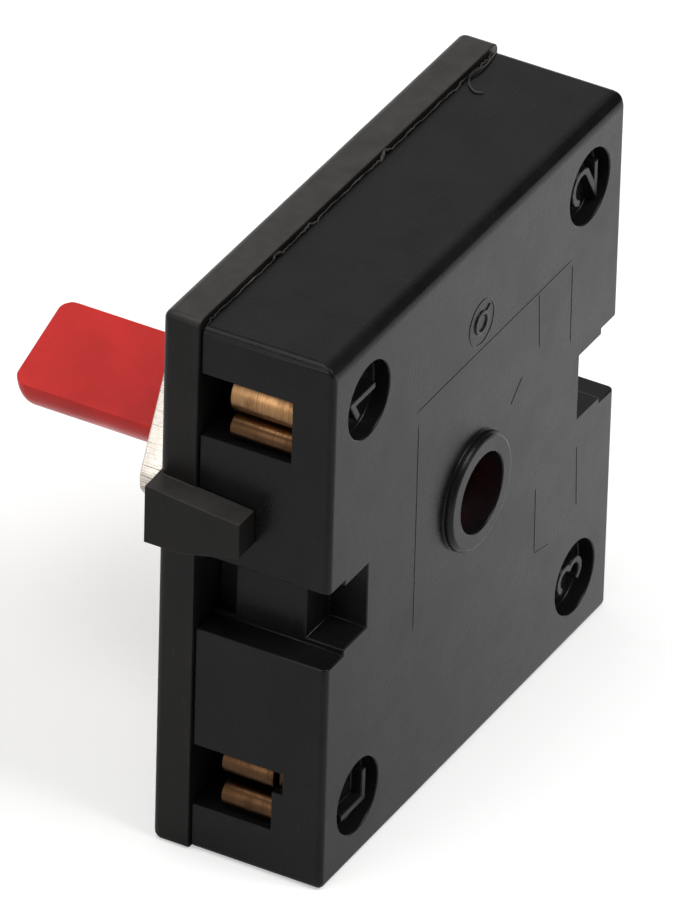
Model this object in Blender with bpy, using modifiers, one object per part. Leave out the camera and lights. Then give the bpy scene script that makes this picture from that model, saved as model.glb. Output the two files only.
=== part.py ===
"""Rotary fan selector switch with four screwless terminals and a D-shaped spindle.

A flat black housing stands on its narrow bottom face. Its numbered face looks
along -Y and its cover, threaded bushing and red spindle point along +Y.
Depths are counted from the numbered face towards the spindle's tip, and
heights from the spindle's axis. Seen from the numbered face, +X is right.
The origin lies under the middle of the whole switch, at the bottom face.
"""

import math

import bmesh
import bpy
from mathutils import Matrix, Vector

MM = 0.001

# Housing
BODY_WIDTH = 32.0 * MM
BODY_HEIGHT = 33.4 * MM
BODY_DEPTH = 8.0 * MM
FRONT_WALL = BODY_DEPTH * 0.3125
TOP_FRONT_RADIUS = 0.9 * MM
FRONT_EDGE_RADIUS = 0.35 * MM
SIDE_EDGE_RADIUS = 0.4 * MM
CAVITY_RADIUS = 10.0 * MM

# Raised ring around the spindle's rear bearing
RING_RADIUS = 3.45 * MM
RING_PROUD = 0.5 * MM
RING_CHAMFER = 0.2 * MM
BEARING_RADIUS = 2.35 * MM

# Round recesses that hold the terminal numbers
RECESS_RADIUS = 2.23 * MM
RECESS_DEPTH = 1.0 * MM
RECESS_FROM_SIDE = 3.85 * MM
RECESS_FROM_END = 4.0 * MM
NUMBER_HEIGHT = 2.45 * MM
NUMBER_WIDTH = 1.85 * MM
NUMBER_STROKE = 0.42 * MM
NUMBER_RAISED = 0.7 * MM

# Notches in the numbered face and the grooves behind them, both sides
NOTCH_CUT = 4.3 * MM
NOTCH_HALF_HEIGHT = 2.05 * MM
NOTCH_DEPTH = 2.3 * MM
GROOVE_CUT = 1.8 * MM
GROOVE_HALF_HEIGHT = 2.42 * MM
POCKET_CUT = 2.6 * MM
POCKET_DEPTH = 1.4 * MM
POCKET_HALF_HEIGHT = 2.15 * MM

# Terminal chambers, open at the sides
CHAMBER_END_WALL = 2.9 * MM
CHAMBER_HEIGHT = 3.85 * MM
CHAMBER_INNER_X = CAVITY_RADIUS * 0.61
LOWER_SILL = 0.66 * MM
CHANNEL_HEIGHT = 1.35 * MM
STRIP_SLOT_DROP = 1.1 * MM

# Cover
COVER_THICKNESS = 2.3 * MM
COVER_PROUD_SIDE = 0.25 * MM
COVER_PROUD_TOP = 0.4 * MM
COVER_EDGE_RADIUS = 0.5 * MM
COVER_FOOT_RADIUS = 0.3 * MM
SPIGOT_HEIGHT = BODY_DEPTH * 0.075
SPIGOT_WALL = 1.0 * MM

# Latch lugs on the cover's sides
LUG_PROUD = 1.75 * MM
LUG_REACH = 3.5 * MM
LUG_TOP = 6.9 * MM
LUG_BOTTOM = 3.3 * MM
LUG_SLOPE = 0.55 * MM
LUG_POINT = 0.9 * MM

# Threaded bushing and its nut
THREAD_RADIUS = 5.0 * MM
BUSHING_LENGTH = 7.0 * MM
BUSHING_CHAMFER = 0.5 * MM
FLANGE_LEDGE = 0.5 * MM
FLANGE_THICKNESS = 0.9 * MM
NUT_WALL = 2.0 * MM
NUT_THICKNESS = 2.5 * MM
NUT_FROM_END = 1.05 * MM
NUT_CHAMFER = 0.15 * MM
NUT_CORNER_TURNED = 0.25 * MM
NUT_FACET_ANGLE = math.radians(154.7)

# Spindle
SHAFT_RADIUS = 3.1 * MM
SHAFT_REACH = 16.7 * MM
SHAFT_EDGE = 0.9 * MM
FLAT_FROM_AXIS = 0.62 * MM
FLAT_FROM_BUSHING = 0.3 * MM
FLAT_ANGLE = math.radians(111.0)
COLLAR_LEDGE = 1.2 * MM
COLLAR_THICKNESS = 0.8 * MM
NOSE_INSET = 1.4 * MM
DRIVE_LEDGE = 0.25 * MM

# Rotor
ROTOR_CLEARANCE = 0.5 * MM
STOP_INNER_RADIUS = CAVITY_RADIUS * 0.8
STOP_LUG_DROP = 0.85 * MM
STOP_WIDTH = math.radians(44.0)
STOP_LASH = math.radians(1.0)
STOP_RIB_ANGLE = math.radians(180.0)
FENCE_INNER = CAVITY_RADIUS * 0.49
FENCE_LENGTH = 2.1 * MM
FENCE_WALL = 0.6 * MM
FENCE_DROP = 1.0 * MM

# Detent: two sprung balls in the rotor's rim, four notches in the cavity wall
BALL_SHARE = 1 / 3
BALL_PROUD = 0.4 * MM
BALL_POCKET_LENGTH = 4.1 * MM
DETENT_COUNT = 4
DETENT_DEPTH = 0.5 * MM
DETENT_CLEARANCE = 0.2 * MM
DETENT_SPRING_WIRE = 0.13 * MM

# Stamped brass and its contacts
BRASS_THICKNESS = 0.5 * MM
COMMON_RING_INNER = CAVITY_RADIUS * 0.3
COMMON_RING_OUTER = CAVITY_RADIUS * 0.44
STRIP_WIDTH = 1.2 * MM
SHELF_INSET = 0.7 * MM
PAD_RADIUS = 1.2 * MM
CONTACT_ORBIT = CAVITY_RADIUS * 0.62
CONTACT_RADIUS = 0.95 * MM
CONTACT_HEAD = 0.4 * MM
CONTACT_SHANK = 0.45 * MM
CONTACT_LIFT = 0.1 * MM

# Sprung jaws that grip a bare wire end
JAW_WIRE_SIDE_INSET = 0.3 * MM
JAW_ROOT_INSET = 2.9 * MM
JAW_TAIL_REACH = 2.0 * MM
JAW_COVER_GAP = 1.65 * MM
JAW_SHEET = 0.4 * MM
JAW_LIFT = 0.03 * MM
UPPER_GAP = 0.2 * MM
LOWER_GAP = 0.6 * MM

# Wiper
WIPER_THICKNESS = 0.35 * MM
WIPER_WIDTH = 3.0 * MM
WIPER_REACH = CAVITY_RADIUS * 0.73
WIPER_TAIL = CAVITY_RADIUS * 0.56
WIPER_EYE_LEDGE = 0.35 * MM
WIPER_ANGLE = math.radians(225.0)
WIPER_ROOM = BODY_DEPTH * 0.0875
INNER_CONTACT_RADIUS = 0.6 * MM
SPRING_ORBIT = CAVITY_RADIUS * 0.46
SPRING_RADIUS = 0.8 * MM
SPRING_POCKET_ROOF = 0.7 * MM
WIPER_SPRING_WIRE = 0.13 * MM
SPRING_PITCH = 0.51 * MM

# Fits
SEAT_GAP = 0.05 * MM
RUN_GAP = 0.1 * MM
SINK = 0.1 * MM
OVERCUT = 1.0 * MM

# Each terminal's mark with its corner: the sides of X and of height
CORNERS = {"1": (-1, 1), "2": (1, 1), "3": (1, -1), "L": (-1, -1)}

ROUND_STEPS = 48
SMALL_STEPS = 20
COIL_STEPS = 10
OUTLINE_SCALE = 1000.0
WELD = 1e-7

# Places that follow from the sizes above
COVER_INNER = BODY_DEPTH + SEAT_GAP
COVER_OUTER = BODY_DEPTH + COVER_THICKNESS
TIP = COVER_OUTER + SHAFT_REACH
FRONT_Y = (RING_PROUD - TIP) / 2
AXIS_Z = BODY_HEIGHT / 2
HALF_WIDTH = BODY_WIDTH / 2
HALF_HEIGHT = BODY_HEIGHT / 2
RECESS_X = HALF_WIDTH - RECESS_FROM_SIDE
RECESS_Z = HALF_HEIGHT - RECESS_FROM_END
CHAMBER_HIGH = HALF_HEIGHT - CHAMBER_END_WALL
CHAMBER_LOW = CHAMBER_HIGH - CHAMBER_HEIGHT

STRIP_X = CHAMBER_INNER_X
STRIP_BOTTOM = FRONT_WALL + SEAT_GAP
STRIP_TOP = STRIP_BOTTOM + BRASS_THICKNESS
FIXED_CONTACT_TOP = STRIP_TOP + SEAT_GAP + CONTACT_HEAD
WIPER_BOTTOM = FIXED_CONTACT_TOP + CONTACT_LIFT + CONTACT_HEAD / 2 + SEAT_GAP
WIPER_TOP = WIPER_BOTTOM + WIPER_THICKNESS
WIPER_EYE_RADIUS = BEARING_RADIUS + WIPER_EYE_LEDGE
LOWER_FLOOR = FRONT_WALL + LOWER_SILL
JAW_ROOT_X = CHAMBER_INNER_X + JAW_ROOT_INSET
JAW_TAIL_X = JAW_ROOT_X + JAW_TAIL_REACH

ROTOR_RADIUS = CAVITY_RADIUS - ROTOR_CLEARANCE
ROTOR_TOP = BODY_DEPTH - SPIGOT_HEIGHT - RUN_GAP
ROTOR_BOTTOM = WIPER_TOP + WIPER_ROOM
ROTOR_THICKNESS = ROTOR_TOP - ROTOR_BOTTOM
COLLAR_RADIUS = SHAFT_RADIUS + COLLAR_LEDGE
COLLAR_BOTTOM = ROTOR_TOP + RUN_GAP
COLLAR_TOP = COLLAR_BOTTOM + COLLAR_THICKNESS
DRIVE_ACROSS_FLATS = 2 * (BEARING_RADIUS + DRIVE_LEDGE)
FLANGE_ACROSS_FLATS = 2 * (THREAD_RADIUS + FLANGE_LEDGE)
FLANGE_BOTTOM = COLLAR_TOP + RUN_GAP
FLANGE_TOP = FLANGE_BOTTOM + FLANGE_THICKNESS
NUT_ACROSS_FLATS = 2 * (THREAD_RADIUS + NUT_WALL)
BUSHING_END = COVER_OUTER + BUSHING_LENGTH

BALL_RADIUS = ROTOR_THICKNESS * BALL_SHARE
BALL_DEPTH = (ROTOR_TOP + ROTOR_BOTTOM) / 2
BALL_ORBIT = ROTOR_RADIUS + BALL_PROUD - BALL_RADIUS
BALL_POCKET_RADIUS = BALL_RADIUS + RUN_GAP
DETENT_RADIUS = BALL_RADIUS + DETENT_CLEARANCE
SPRING_POCKET_RADIUS = SPRING_RADIUS + RUN_GAP
SPRING_POCKET_TOP = ROTOR_TOP - SPRING_POCKET_ROOF


def place(x, depth, height):
    """World point at x, at a depth from the numbered face and a height from the axis."""
    return Vector((x, FRONT_Y + depth, AXIS_Z + height))


def polar(radius, angle):
    """X and height at a radius and angle, anticlockwise from +X as seen from -Y."""
    return radius * math.cos(angle), radius * math.sin(angle)


def arc(centre, radius, start, end, steps):
    """Points along an arc, with its angles in degrees."""
    points = []
    for step in range(steps + 1):
        angle = math.radians(start + (end - start) * step / steps)
        points.append(Vector(centre) + radius * Vector((math.cos(angle), math.sin(angle))))
    return points


def clear_scene():
    """Removes every object, so that the script starts from nothing."""
    for item in list(bpy.data.objects):
        bpy.data.objects.remove(item, do_unlink=True)


def add_collection(name):
    """A new collection in the scene."""
    group = bpy.data.collections.new(name)
    bpy.context.scene.collection.children.link(group)
    return group


def add_material(name, colour, roughness, metallic=0.0):
    """A Principled material."""
    material = bpy.data.materials.new(name)
    material.use_nodes = True
    shader = material.node_tree.nodes["Principled BSDF"]
    shader.inputs["Base Color"].default_value = (*colour, 1.0)
    shader.inputs["Roughness"].default_value = roughness
    shader.inputs["Metallic"].default_value = metallic
    return material


def add_object(name, mesh, group, matrix=None):
    """An object for a mesh, in a collection."""
    item = bpy.data.objects.new(name, mesh)
    item.matrix_world = matrix or Matrix.Identity(4)
    group.objects.link(item)
    return item


def mesh_from(builder, name):
    """A mesh filled by a function that works on a bmesh."""
    mesh = bpy.data.meshes.new(name)
    work = bmesh.new()
    builder(work)
    work.to_mesh(mesh)
    work.free()
    return mesh


def box(name, group, low, high):
    """A box between two corners, each given as x, depth and height."""
    low_point = place(*low)
    high_point = place(*high)
    size = high_point - low_point

    def build(work):
        bmesh.ops.create_cube(work, size=1.0)
        bmesh.ops.scale(work, vec=size, verts=work.verts)

    middle = (low_point + high_point) / 2
    return add_object(name, mesh_from(build, name), group, Matrix.Translation(middle))


def disc(name, group, radius, near, far, x=0.0, height=0.0, steps=ROUND_STEPS, turn=0.0):
    """A round or many-sided bar along Y, between two depths."""
    def build(work):
        bmesh.ops.create_cone(work, cap_ends=True, segments=steps, radius1=radius,
                              radius2=radius, depth=far - near)

    spin = Matrix.Rotation(math.radians(-90.0), 4, "X") @ Matrix.Rotation(-turn, 4, "Z")
    matrix = Matrix.Translation(place(x, (near + far) / 2, height)) @ spin
    return add_object(name, mesh_from(build, name), group, matrix)


def bar_along(name, group, radius, start, end, steps=SMALL_STEPS):
    """A round bar between two world points."""
    def build(work):
        bmesh.ops.create_cone(work, cap_ends=True, segments=steps, radius1=radius,
                              radius2=radius, depth=(end - start).length)

    turn = Vector((0.0, 0.0, 1.0)).rotation_difference(end - start)
    matrix = Matrix.Translation((start + end) / 2) @ turn.to_matrix().to_4x4()
    return add_object(name, mesh_from(build, name), group, matrix)


def hexagon(name, group, across_flats, near, far, facet_angle=0.0):
    """A hexagonal bar along Y with one facet facing the given angle."""
    corner = across_flats / 2 / math.cos(math.radians(30.0))
    return disc(name, group, corner, near, far, steps=6, turn=facet_angle)


def turned(name, group, profile, closed=False, x=0.0, height=0.0, steps=ROUND_STEPS):
    """A shape turned about the Y direction from radius and depth pairs, tip first."""
    mesh = bpy.data.meshes.new(name)
    points = [(radius, 0.0, depth) for radius, depth in profile]
    edges = [(i, i + 1) for i in range(len(points) - 1)]
    if closed:
        edges.append((len(points) - 1, 0))
    mesh.from_pydata(points, edges, [])
    matrix = Matrix.Translation(place(x, 0.0, height)) @ Matrix.Rotation(math.radians(-90.0), 4, "X")
    item = add_object(name, mesh, group, matrix)
    screw = item.modifiers.new("Turn", "SCREW")
    screw.steps = steps
    screw.render_steps = steps
    screw.use_merge_vertices = True
    screw.merge_threshold = WELD
    bake(item)
    return item


def bake(item):
    """Gives an object the mesh that its modifiers make, shaded smooth except at edges."""
    graph = bpy.context.evaluated_depsgraph_get()
    mesh = bpy.data.meshes.new_from_object(item.evaluated_get(graph))
    item.modifiers.clear()
    item.data = mesh
    mesh.shade_smooth()
    mesh.set_sharp_from_angle(angle=math.radians(35.0))


def prism(name, group, outline, near, far, along="Y"):
    """A flat outline given thickness along Y between two depths, or along X."""
    curve = bpy.data.curves.new(name, "CURVE")
    curve.dimensions = "2D"
    curve.fill_mode = "BOTH"
    curve.extrude = (far - near) / 2 * OUTLINE_SCALE
    spline = curve.splines.new("POLY")
    spline.points.add(len(outline) - 1)
    for point, corner in zip(spline.points, outline):
        point.co = (corner[0] * OUTLINE_SCALE, corner[1] * OUTLINE_SCALE, 0.0, 1.0)
    spline.use_cyclic_u = True
    if along == "Y":
        turn = Matrix(((1, 0, 0), (0, 0, -1), (0, 1, 0))).to_4x4()
        matrix = Matrix.Translation(place(0.0, (near + far) / 2, 0.0)) @ turn
    else:
        turn = Matrix(((0, 0, 1), (1, 0, 0), (0, 1, 0))).to_4x4()
        matrix = Matrix.Translation(place((near + far) / 2, 0.0, 0.0)) @ turn
    return solid_from_curve(name, group, curve, matrix, 1.0 / OUTLINE_SCALE)


def solid_from_curve(name, group, curve, matrix, scale=1.0):
    """A mesh object from a curve, with its caps welded on."""
    guide = add_object(name + "_guide", curve, group)
    graph = bpy.context.evaluated_depsgraph_get()
    mesh = bpy.data.meshes.new_from_object(guide.evaluated_get(graph))
    bpy.data.objects.remove(guide, do_unlink=True)
    mesh.transform(Matrix.Scale(scale, 4))
    work = bmesh.new()
    work.from_mesh(mesh)
    bmesh.ops.remove_doubles(work, verts=work.verts, dist=WELD)
    bmesh.ops.recalc_face_normals(work, faces=work.faces)
    work.to_mesh(mesh)
    work.free()
    return add_object(name, mesh, group, matrix)


def stroke(path, width):
    """The closed outline of an open path drawn with a pen of the given width."""
    left = []
    right = []
    for i, point in enumerate(path):
        before = path[max(i - 1, 0)]
        after = path[min(i + 1, len(path) - 1)]
        coming = (point - before) if i else (after - point)
        going = (after - point) if i < len(path) - 1 else coming
        coming = coming.normalized()
        heading = (coming + going.normalized()).normalized()
        across = Vector((-heading.y, heading.x))
        reach = width / 2 / across.dot(Vector((-coming.y, coming.x)))
        left.append(point + across * reach)
        right.append(point - across * reach)
    return left + right[::-1]


def combine(item, others, operation):
    """Joins shapes to an object or cuts them from it, as live modifiers."""
    for other in others:
        modifier = item.modifiers.new(other.name, "BOOLEAN")
        modifier.operation = operation
        modifier.object = other
        other.hide_render = True
        other.display_type = "WIRE"


def cut(item, cutters):
    """Cuts shapes from an object."""
    combine(item, cutters, "DIFFERENCE")


def join(item, additions):
    """Joins shapes to an object as one body."""
    combine(item, additions, "UNION")


def round_edges(item, choose, width, segments=3):
    """Rounds the edges whose two ends pass a test, given in the object's own space."""
    work = bmesh.new()
    work.from_mesh(item.data)
    bmesh.ops.dissolve_limit(work, angle_limit=math.radians(1.0), verts=work.verts,
                             edges=work.edges)
    weight = work.edges.layers.float.new("bevel_weight_edge")
    for edge in work.edges:
        if edge.calc_face_angle() > math.radians(30.0):
            edge[weight] = choose(edge.verts[0].co, edge.verts[1].co)
    work.to_mesh(item.data)
    work.free()
    bevel = item.modifiers.new("Rounded edges", "BEVEL")
    bevel.limit_method = "WEIGHT"
    bevel.width = width
    bevel.segments = segments
    bake(item)


def number_path(character, width, height):
    """The pen path of a terminal's character, with its middle at the origin."""
    half = height / 2
    side = width / 2
    if character == "1":
        stem = side * 0.2
        return [Vector((-side, half * 0.45)), Vector((stem, half)), Vector((stem, -half))]
    if character == "L":
        return [Vector((-side, half)), Vector((-side, -half)), Vector((side, -half))]
    if character == "2":
        bowl = arc((0.0, half - side), side, 165.0, -35.0, 8)
        return bowl + [Vector((-side, -half)), Vector((side, -half))]
    waist = 50.0
    radius = half / (1 + math.sin(math.radians(waist)))
    upper = arc((0.0, half - radius), radius, 155.0, -waist, 8)
    lower = arc((0.0, radius - half), radius, waist, -155.0, 8)
    return upper + lower[1:]


def raised_number(character, group, x, height):
    """A terminal's character, standing on its recess floor with its top towards -X."""
    path = number_path(character, NUMBER_WIDTH, NUMBER_HEIGHT)
    outline = stroke(path, NUMBER_STROKE)
    turned_outline = [Vector((x - point.y, height + point.x)) for point in outline]
    top = RECESS_DEPTH - NUMBER_RAISED
    return prism("number_" + character, group, turned_outline, top, RECESS_DEPTH + SINK)


def chamber_cutters(group):
    """The four terminal chambers, with their channels and strip slots."""
    cutters = []
    rear = BODY_DEPTH + OVERCUT
    for side in (-1, 1):
        inner = side * CHAMBER_INNER_X
        outer = side * (HALF_WIDTH + OVERCUT)
        slot_far = side * (STRIP_X + STRIP_WIDTH / 2 + RUN_GAP)
        slot_near = side * (STRIP_X - STRIP_WIDTH / 2 - RUN_GAP)
        for end in (-1, 1):
            floor = FRONT_WALL if end > 0 else LOWER_FLOOR
            heights = sorted((end * CHAMBER_LOW, end * CHAMBER_HIGH))
            wide = sorted((inner, outer))
            name = f"chamber_{side}_{end}"
            cutters.append(box(name, group, (wide[0], floor, heights[0]),
                               (wide[1], rear, heights[1])))
            slot = sorted((slot_near, slot_far))
            tall = sorted((end * (STRIP_X - STRIP_SLOT_DROP), end * (CHAMBER_LOW + CHANNEL_HEIGHT)))
            cutters.append(box(name + "_slot", group, (slot[0], FRONT_WALL, tall[0]),
                               (slot[1], rear, tall[1])))
            if end < 0:
                channel = sorted((-CHAMBER_LOW, -CHAMBER_LOW - CHANNEL_HEIGHT))
                cutters.append(box(name + "_channel", group, (wide[0], FRONT_WALL, channel[0]),
                                   (wide[1], rear, channel[1])))
    return cutters


def side_cutters(group):
    """The notches in the numbered face's edges, with the grooves and pockets behind them."""
    cutters = []
    for side in (-1, 1):
        outer = side * (HALF_WIDTH + OVERCUT)
        notch = sorted((side * (HALF_WIDTH - NOTCH_CUT), outer))
        cutters.append(box(f"notch_{side}", group, (notch[0], -OVERCUT, -NOTCH_HALF_HEIGHT),
                           (notch[1], NOTCH_DEPTH, NOTCH_HALF_HEIGHT)))
        groove = sorted((side * (HALF_WIDTH - GROOVE_CUT), outer))
        cutters.append(box(f"groove_{side}", group, (groove[0], -OVERCUT, -GROOVE_HALF_HEIGHT),
                           (groove[1], BODY_DEPTH + OVERCUT, GROOVE_HALF_HEIGHT)))
        pocket = sorted((side * (HALF_WIDTH - POCKET_CUT), outer))
        cutters.append(box(f"pocket_{side}", group,
                           (pocket[0], BODY_DEPTH - POCKET_DEPTH, -POCKET_HALF_HEIGHT),
                           (pocket[1], BODY_DEPTH + OVERCUT, POCKET_HALF_HEIGHT)))
    return cutters


def sector(inner, outer, middle, width, steps=8):
    """The outline of a ring's sector."""
    start = math.degrees(middle - width / 2)
    end = math.degrees(middle + width / 2)
    return arc((0.0, 0.0), outer, start, end, steps) + arc((0.0, 0.0), inner, end, start, steps)


def make_housing(group, tools, material):
    """The moulded housing with its cavity, chambers, bearing ring and raised numbers."""
    item = box("housing", group, (-HALF_WIDTH, 0.0, -HALF_HEIGHT), (HALF_WIDTH, BODY_DEPTH, HALF_HEIGHT))

    def edge_weight(first, second):
        if min(first.y, second.y) > 0:
            return 0.0
        if max(first.y, second.y) > 0:
            return SIDE_EDGE_RADIUS / TOP_FRONT_RADIUS
        if min(first.z, second.z) > 0:
            return 1.0
        return FRONT_EDGE_RADIUS / TOP_FRONT_RADIUS

    round_edges(item, edge_weight, TOP_FRONT_RADIUS)
    ring = turned("bearing_ring", tools, [
        (0.0, SINK),
        (RING_RADIUS, SINK),
        (RING_RADIUS, RING_CHAMFER - RING_PROUD),
        (RING_RADIUS - RING_CHAMFER, -RING_PROUD),
        (0.0, -RING_PROUD)])
    join(item, [ring])
    cutters = [disc("cavity", tools, CAVITY_RADIUS, FRONT_WALL, BODY_DEPTH + OVERCUT, steps=64)]
    cutters.append(disc("bearing_bore", tools, BEARING_RADIUS, -OVERCUT, BODY_DEPTH, steps=32))
    cutters += chamber_cutters(tools)
    cutters += side_cutters(tools)
    for index in range(DETENT_COUNT):
        x, height = polar(CAVITY_RADIUS + DETENT_DEPTH - DETENT_RADIUS, index * math.tau / DETENT_COUNT)
        cutters.append(disc(f"detent_notch_{index}", tools, DETENT_RADIUS,
                            ROTOR_BOTTOM + RUN_GAP, BODY_DEPTH + OVERCUT, x, height, SMALL_STEPS))
    for side in (-1, 1):
        for end in (-1, 1):
            cutters.append(disc(f"number_recess_{side}_{end}", tools, RECESS_RADIUS, -OVERCUT,
                                RECESS_DEPTH, side * RECESS_X, end * RECESS_Z, 32))
    cut(item, cutters)
    rib = sector(STOP_INNER_RADIUS, CAVITY_RADIUS + SINK, STOP_RIB_ANGLE, STOP_WIDTH)
    additions = [prism("stop_rib", tools, rib, FRONT_WALL - SINK, ROTOR_BOTTOM - RUN_GAP)]
    for character, (side, end) in CORNERS.items():
        additions.append(raised_number(character, tools, side * RECESS_X, end * RECESS_Z))
    join(item, additions)
    item.data.materials.append(material)
    return item


def make_cover(group, tools, material):
    """The cover plate with its locating spigot, latch lugs and seat for the bushing."""
    right = HALF_WIDTH + COVER_PROUD_SIDE
    item = box("cover", group, (-right, COVER_INNER, -HALF_HEIGHT),
               (right, COVER_OUTER, HALF_HEIGHT + COVER_PROUD_TOP))

    def edge_weight(first, second):
        if max(first.y, second.y) < 0:
            return 0.0
        if min(first.y, second.y) < 0 and max(first.z, second.z) < 0:
            return COVER_FOOT_RADIUS / COVER_EDGE_RADIUS
        return 1.0

    round_edges(item, edge_weight, COVER_EDGE_RADIUS, 4)
    spigot_outer = CAVITY_RADIUS - RUN_GAP * 2
    spigot_inner = spigot_outer - SPIGOT_WALL
    spigot_bottom = BODY_DEPTH - SPIGOT_HEIGHT
    spigot = turned("spigot", tools, [
        (spigot_inner, COVER_INNER + SINK),
        (spigot_outer, COVER_INNER + SINK),
        (spigot_outer, spigot_bottom),
        (spigot_inner, spigot_bottom)], closed=True, steps=64)
    additions = [spigot]
    front = COVER_INNER - LUG_REACH
    lug_outline = [
        (COVER_OUTER, LUG_BOTTOM),
        (COVER_OUTER, LUG_TOP),
        (front, LUG_TOP - LUG_SLOPE),
        (front, LUG_BOTTOM + LUG_POINT),
        (COVER_INNER, LUG_BOTTOM)]
    root = right - COVER_EDGE_RADIUS + SEAT_GAP
    for side in (-1, 1):
        near, far = sorted((side * root, side * (HALF_WIDTH + LUG_PROUD)))
        lug = prism(f"latch_lug_{side}", tools, lug_outline, near, far, along="X")
        near, far = sorted((side * (root - OVERCUT), side * (HALF_WIDTH + SEAT_GAP)))
        cut(lug, [box(f"lug_room_{side}", tools, (near, front - OVERCUT, LUG_BOTTOM - OVERCUT),
                      (far, COVER_INNER + SINK, LUG_TOP + OVERCUT))])
        additions.append(lug)
    join(item, additions)
    seat = hexagon("flange_seat", tools, FLANGE_ACROSS_FLATS + 2 * RUN_GAP,
                   COVER_INNER - SPIGOT_HEIGHT / 2, FLANGE_TOP + SEAT_GAP)
    opening = disc("bushing_hole", tools, THREAD_RADIUS + RUN_GAP, COVER_INNER, COVER_OUTER + OVERCUT)
    cut(item, [seat, opening])
    item.data.materials.append(material)
    return item


def make_bushing(group, tools, material):
    """The threaded bushing, held by a hexagonal flange inside the cover."""
    bore = SHAFT_RADIUS + RUN_GAP
    item = turned("bushing", group, [
        (bore, BUSHING_END),
        (THREAD_RADIUS - BUSHING_CHAMFER, BUSHING_END),
        (THREAD_RADIUS, BUSHING_END - BUSHING_CHAMFER),
        (THREAD_RADIUS, FLANGE_BOTTOM),
        (bore, FLANGE_BOTTOM)], closed=True)
    flange = hexagon("flange", tools, FLANGE_ACROSS_FLATS, FLANGE_BOTTOM, FLANGE_TOP)
    hole = disc("flange_hole", tools, bore + FLANGE_LEDGE, FLANGE_BOTTOM - OVERCUT, FLANGE_TOP + OVERCUT)
    cut(flange, [hole])
    join(item, [flange])
    item.data.materials.append(material)
    return item


def make_nut(group, tools, material):
    """The hexagonal nut, its upright corners turned down and its rear edge eased."""
    rear = BUSHING_END - NUT_FROM_END
    front = rear - NUT_THICKNESS
    item = hexagon("mounting_nut", group, NUT_ACROSS_FLATS, front, rear, NUT_FACET_ANGLE)
    bore = THREAD_RADIUS + RUN_GAP
    corner = NUT_ACROSS_FLATS / 2 / math.cos(math.radians(30.0)) - NUT_CORNER_TURNED
    blank = turned("nut_blank", tools, [
        (bore, rear),
        (NUT_ACROSS_FLATS / 2 - SEAT_GAP, rear),
        (corner, rear - NUT_CHAMFER),
        (corner, front - OVERCUT),
        (bore, front - OVERCUT)], closed=True, steps=96)
    combine(item, [blank], "INTERSECT")
    item.data.materials.append(material)
    return item


def make_spindle(group, tools, material):
    """The red spindle: bearing nose, hexagonal drive, collar and D-shaped shaft."""
    nose = BEARING_RADIUS - RUN_GAP
    waist = nose - SEAT_GAP
    edge = arc((SHAFT_RADIUS - SHAFT_EDGE, TIP - SHAFT_EDGE), SHAFT_EDGE, 90.0, 0.0, 5)
    item = turned("spindle", group, [
        (0.0, TIP),
        *edge,
        (SHAFT_RADIUS, COLLAR_TOP),
        (COLLAR_RADIUS, COLLAR_TOP),
        (COLLAR_RADIUS, COLLAR_BOTTOM),
        (waist, COLLAR_BOTTOM),
        (waist, ROTOR_BOTTOM),
        (nose, ROTOR_BOTTOM),
        (nose, NOSE_INSET),
        (0.0, NOSE_INSET)])
    drive = hexagon("drive", tools, DRIVE_ACROSS_FLATS, ROTOR_BOTTOM, COLLAR_BOTTOM + SINK)
    join(item, [drive])
    flat = box("shaft_flat", tools,
               (FLAT_FROM_AXIS, BUSHING_END + FLAT_FROM_BUSHING, -SHAFT_RADIUS * 2),
               (SHAFT_RADIUS * 2, TIP + OVERCUT, SHAFT_RADIUS * 2))
    centre = place(0.0, 0.0, 0.0)
    turn = Matrix.Translation(centre) @ Matrix.Rotation(-FLAT_ANGLE, 4, "Y") @ Matrix.Translation(-centre)
    flat.matrix_world = turn @ flat.matrix_world
    cut(item, [flat])
    item.data.materials.append(material)
    return item


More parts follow.
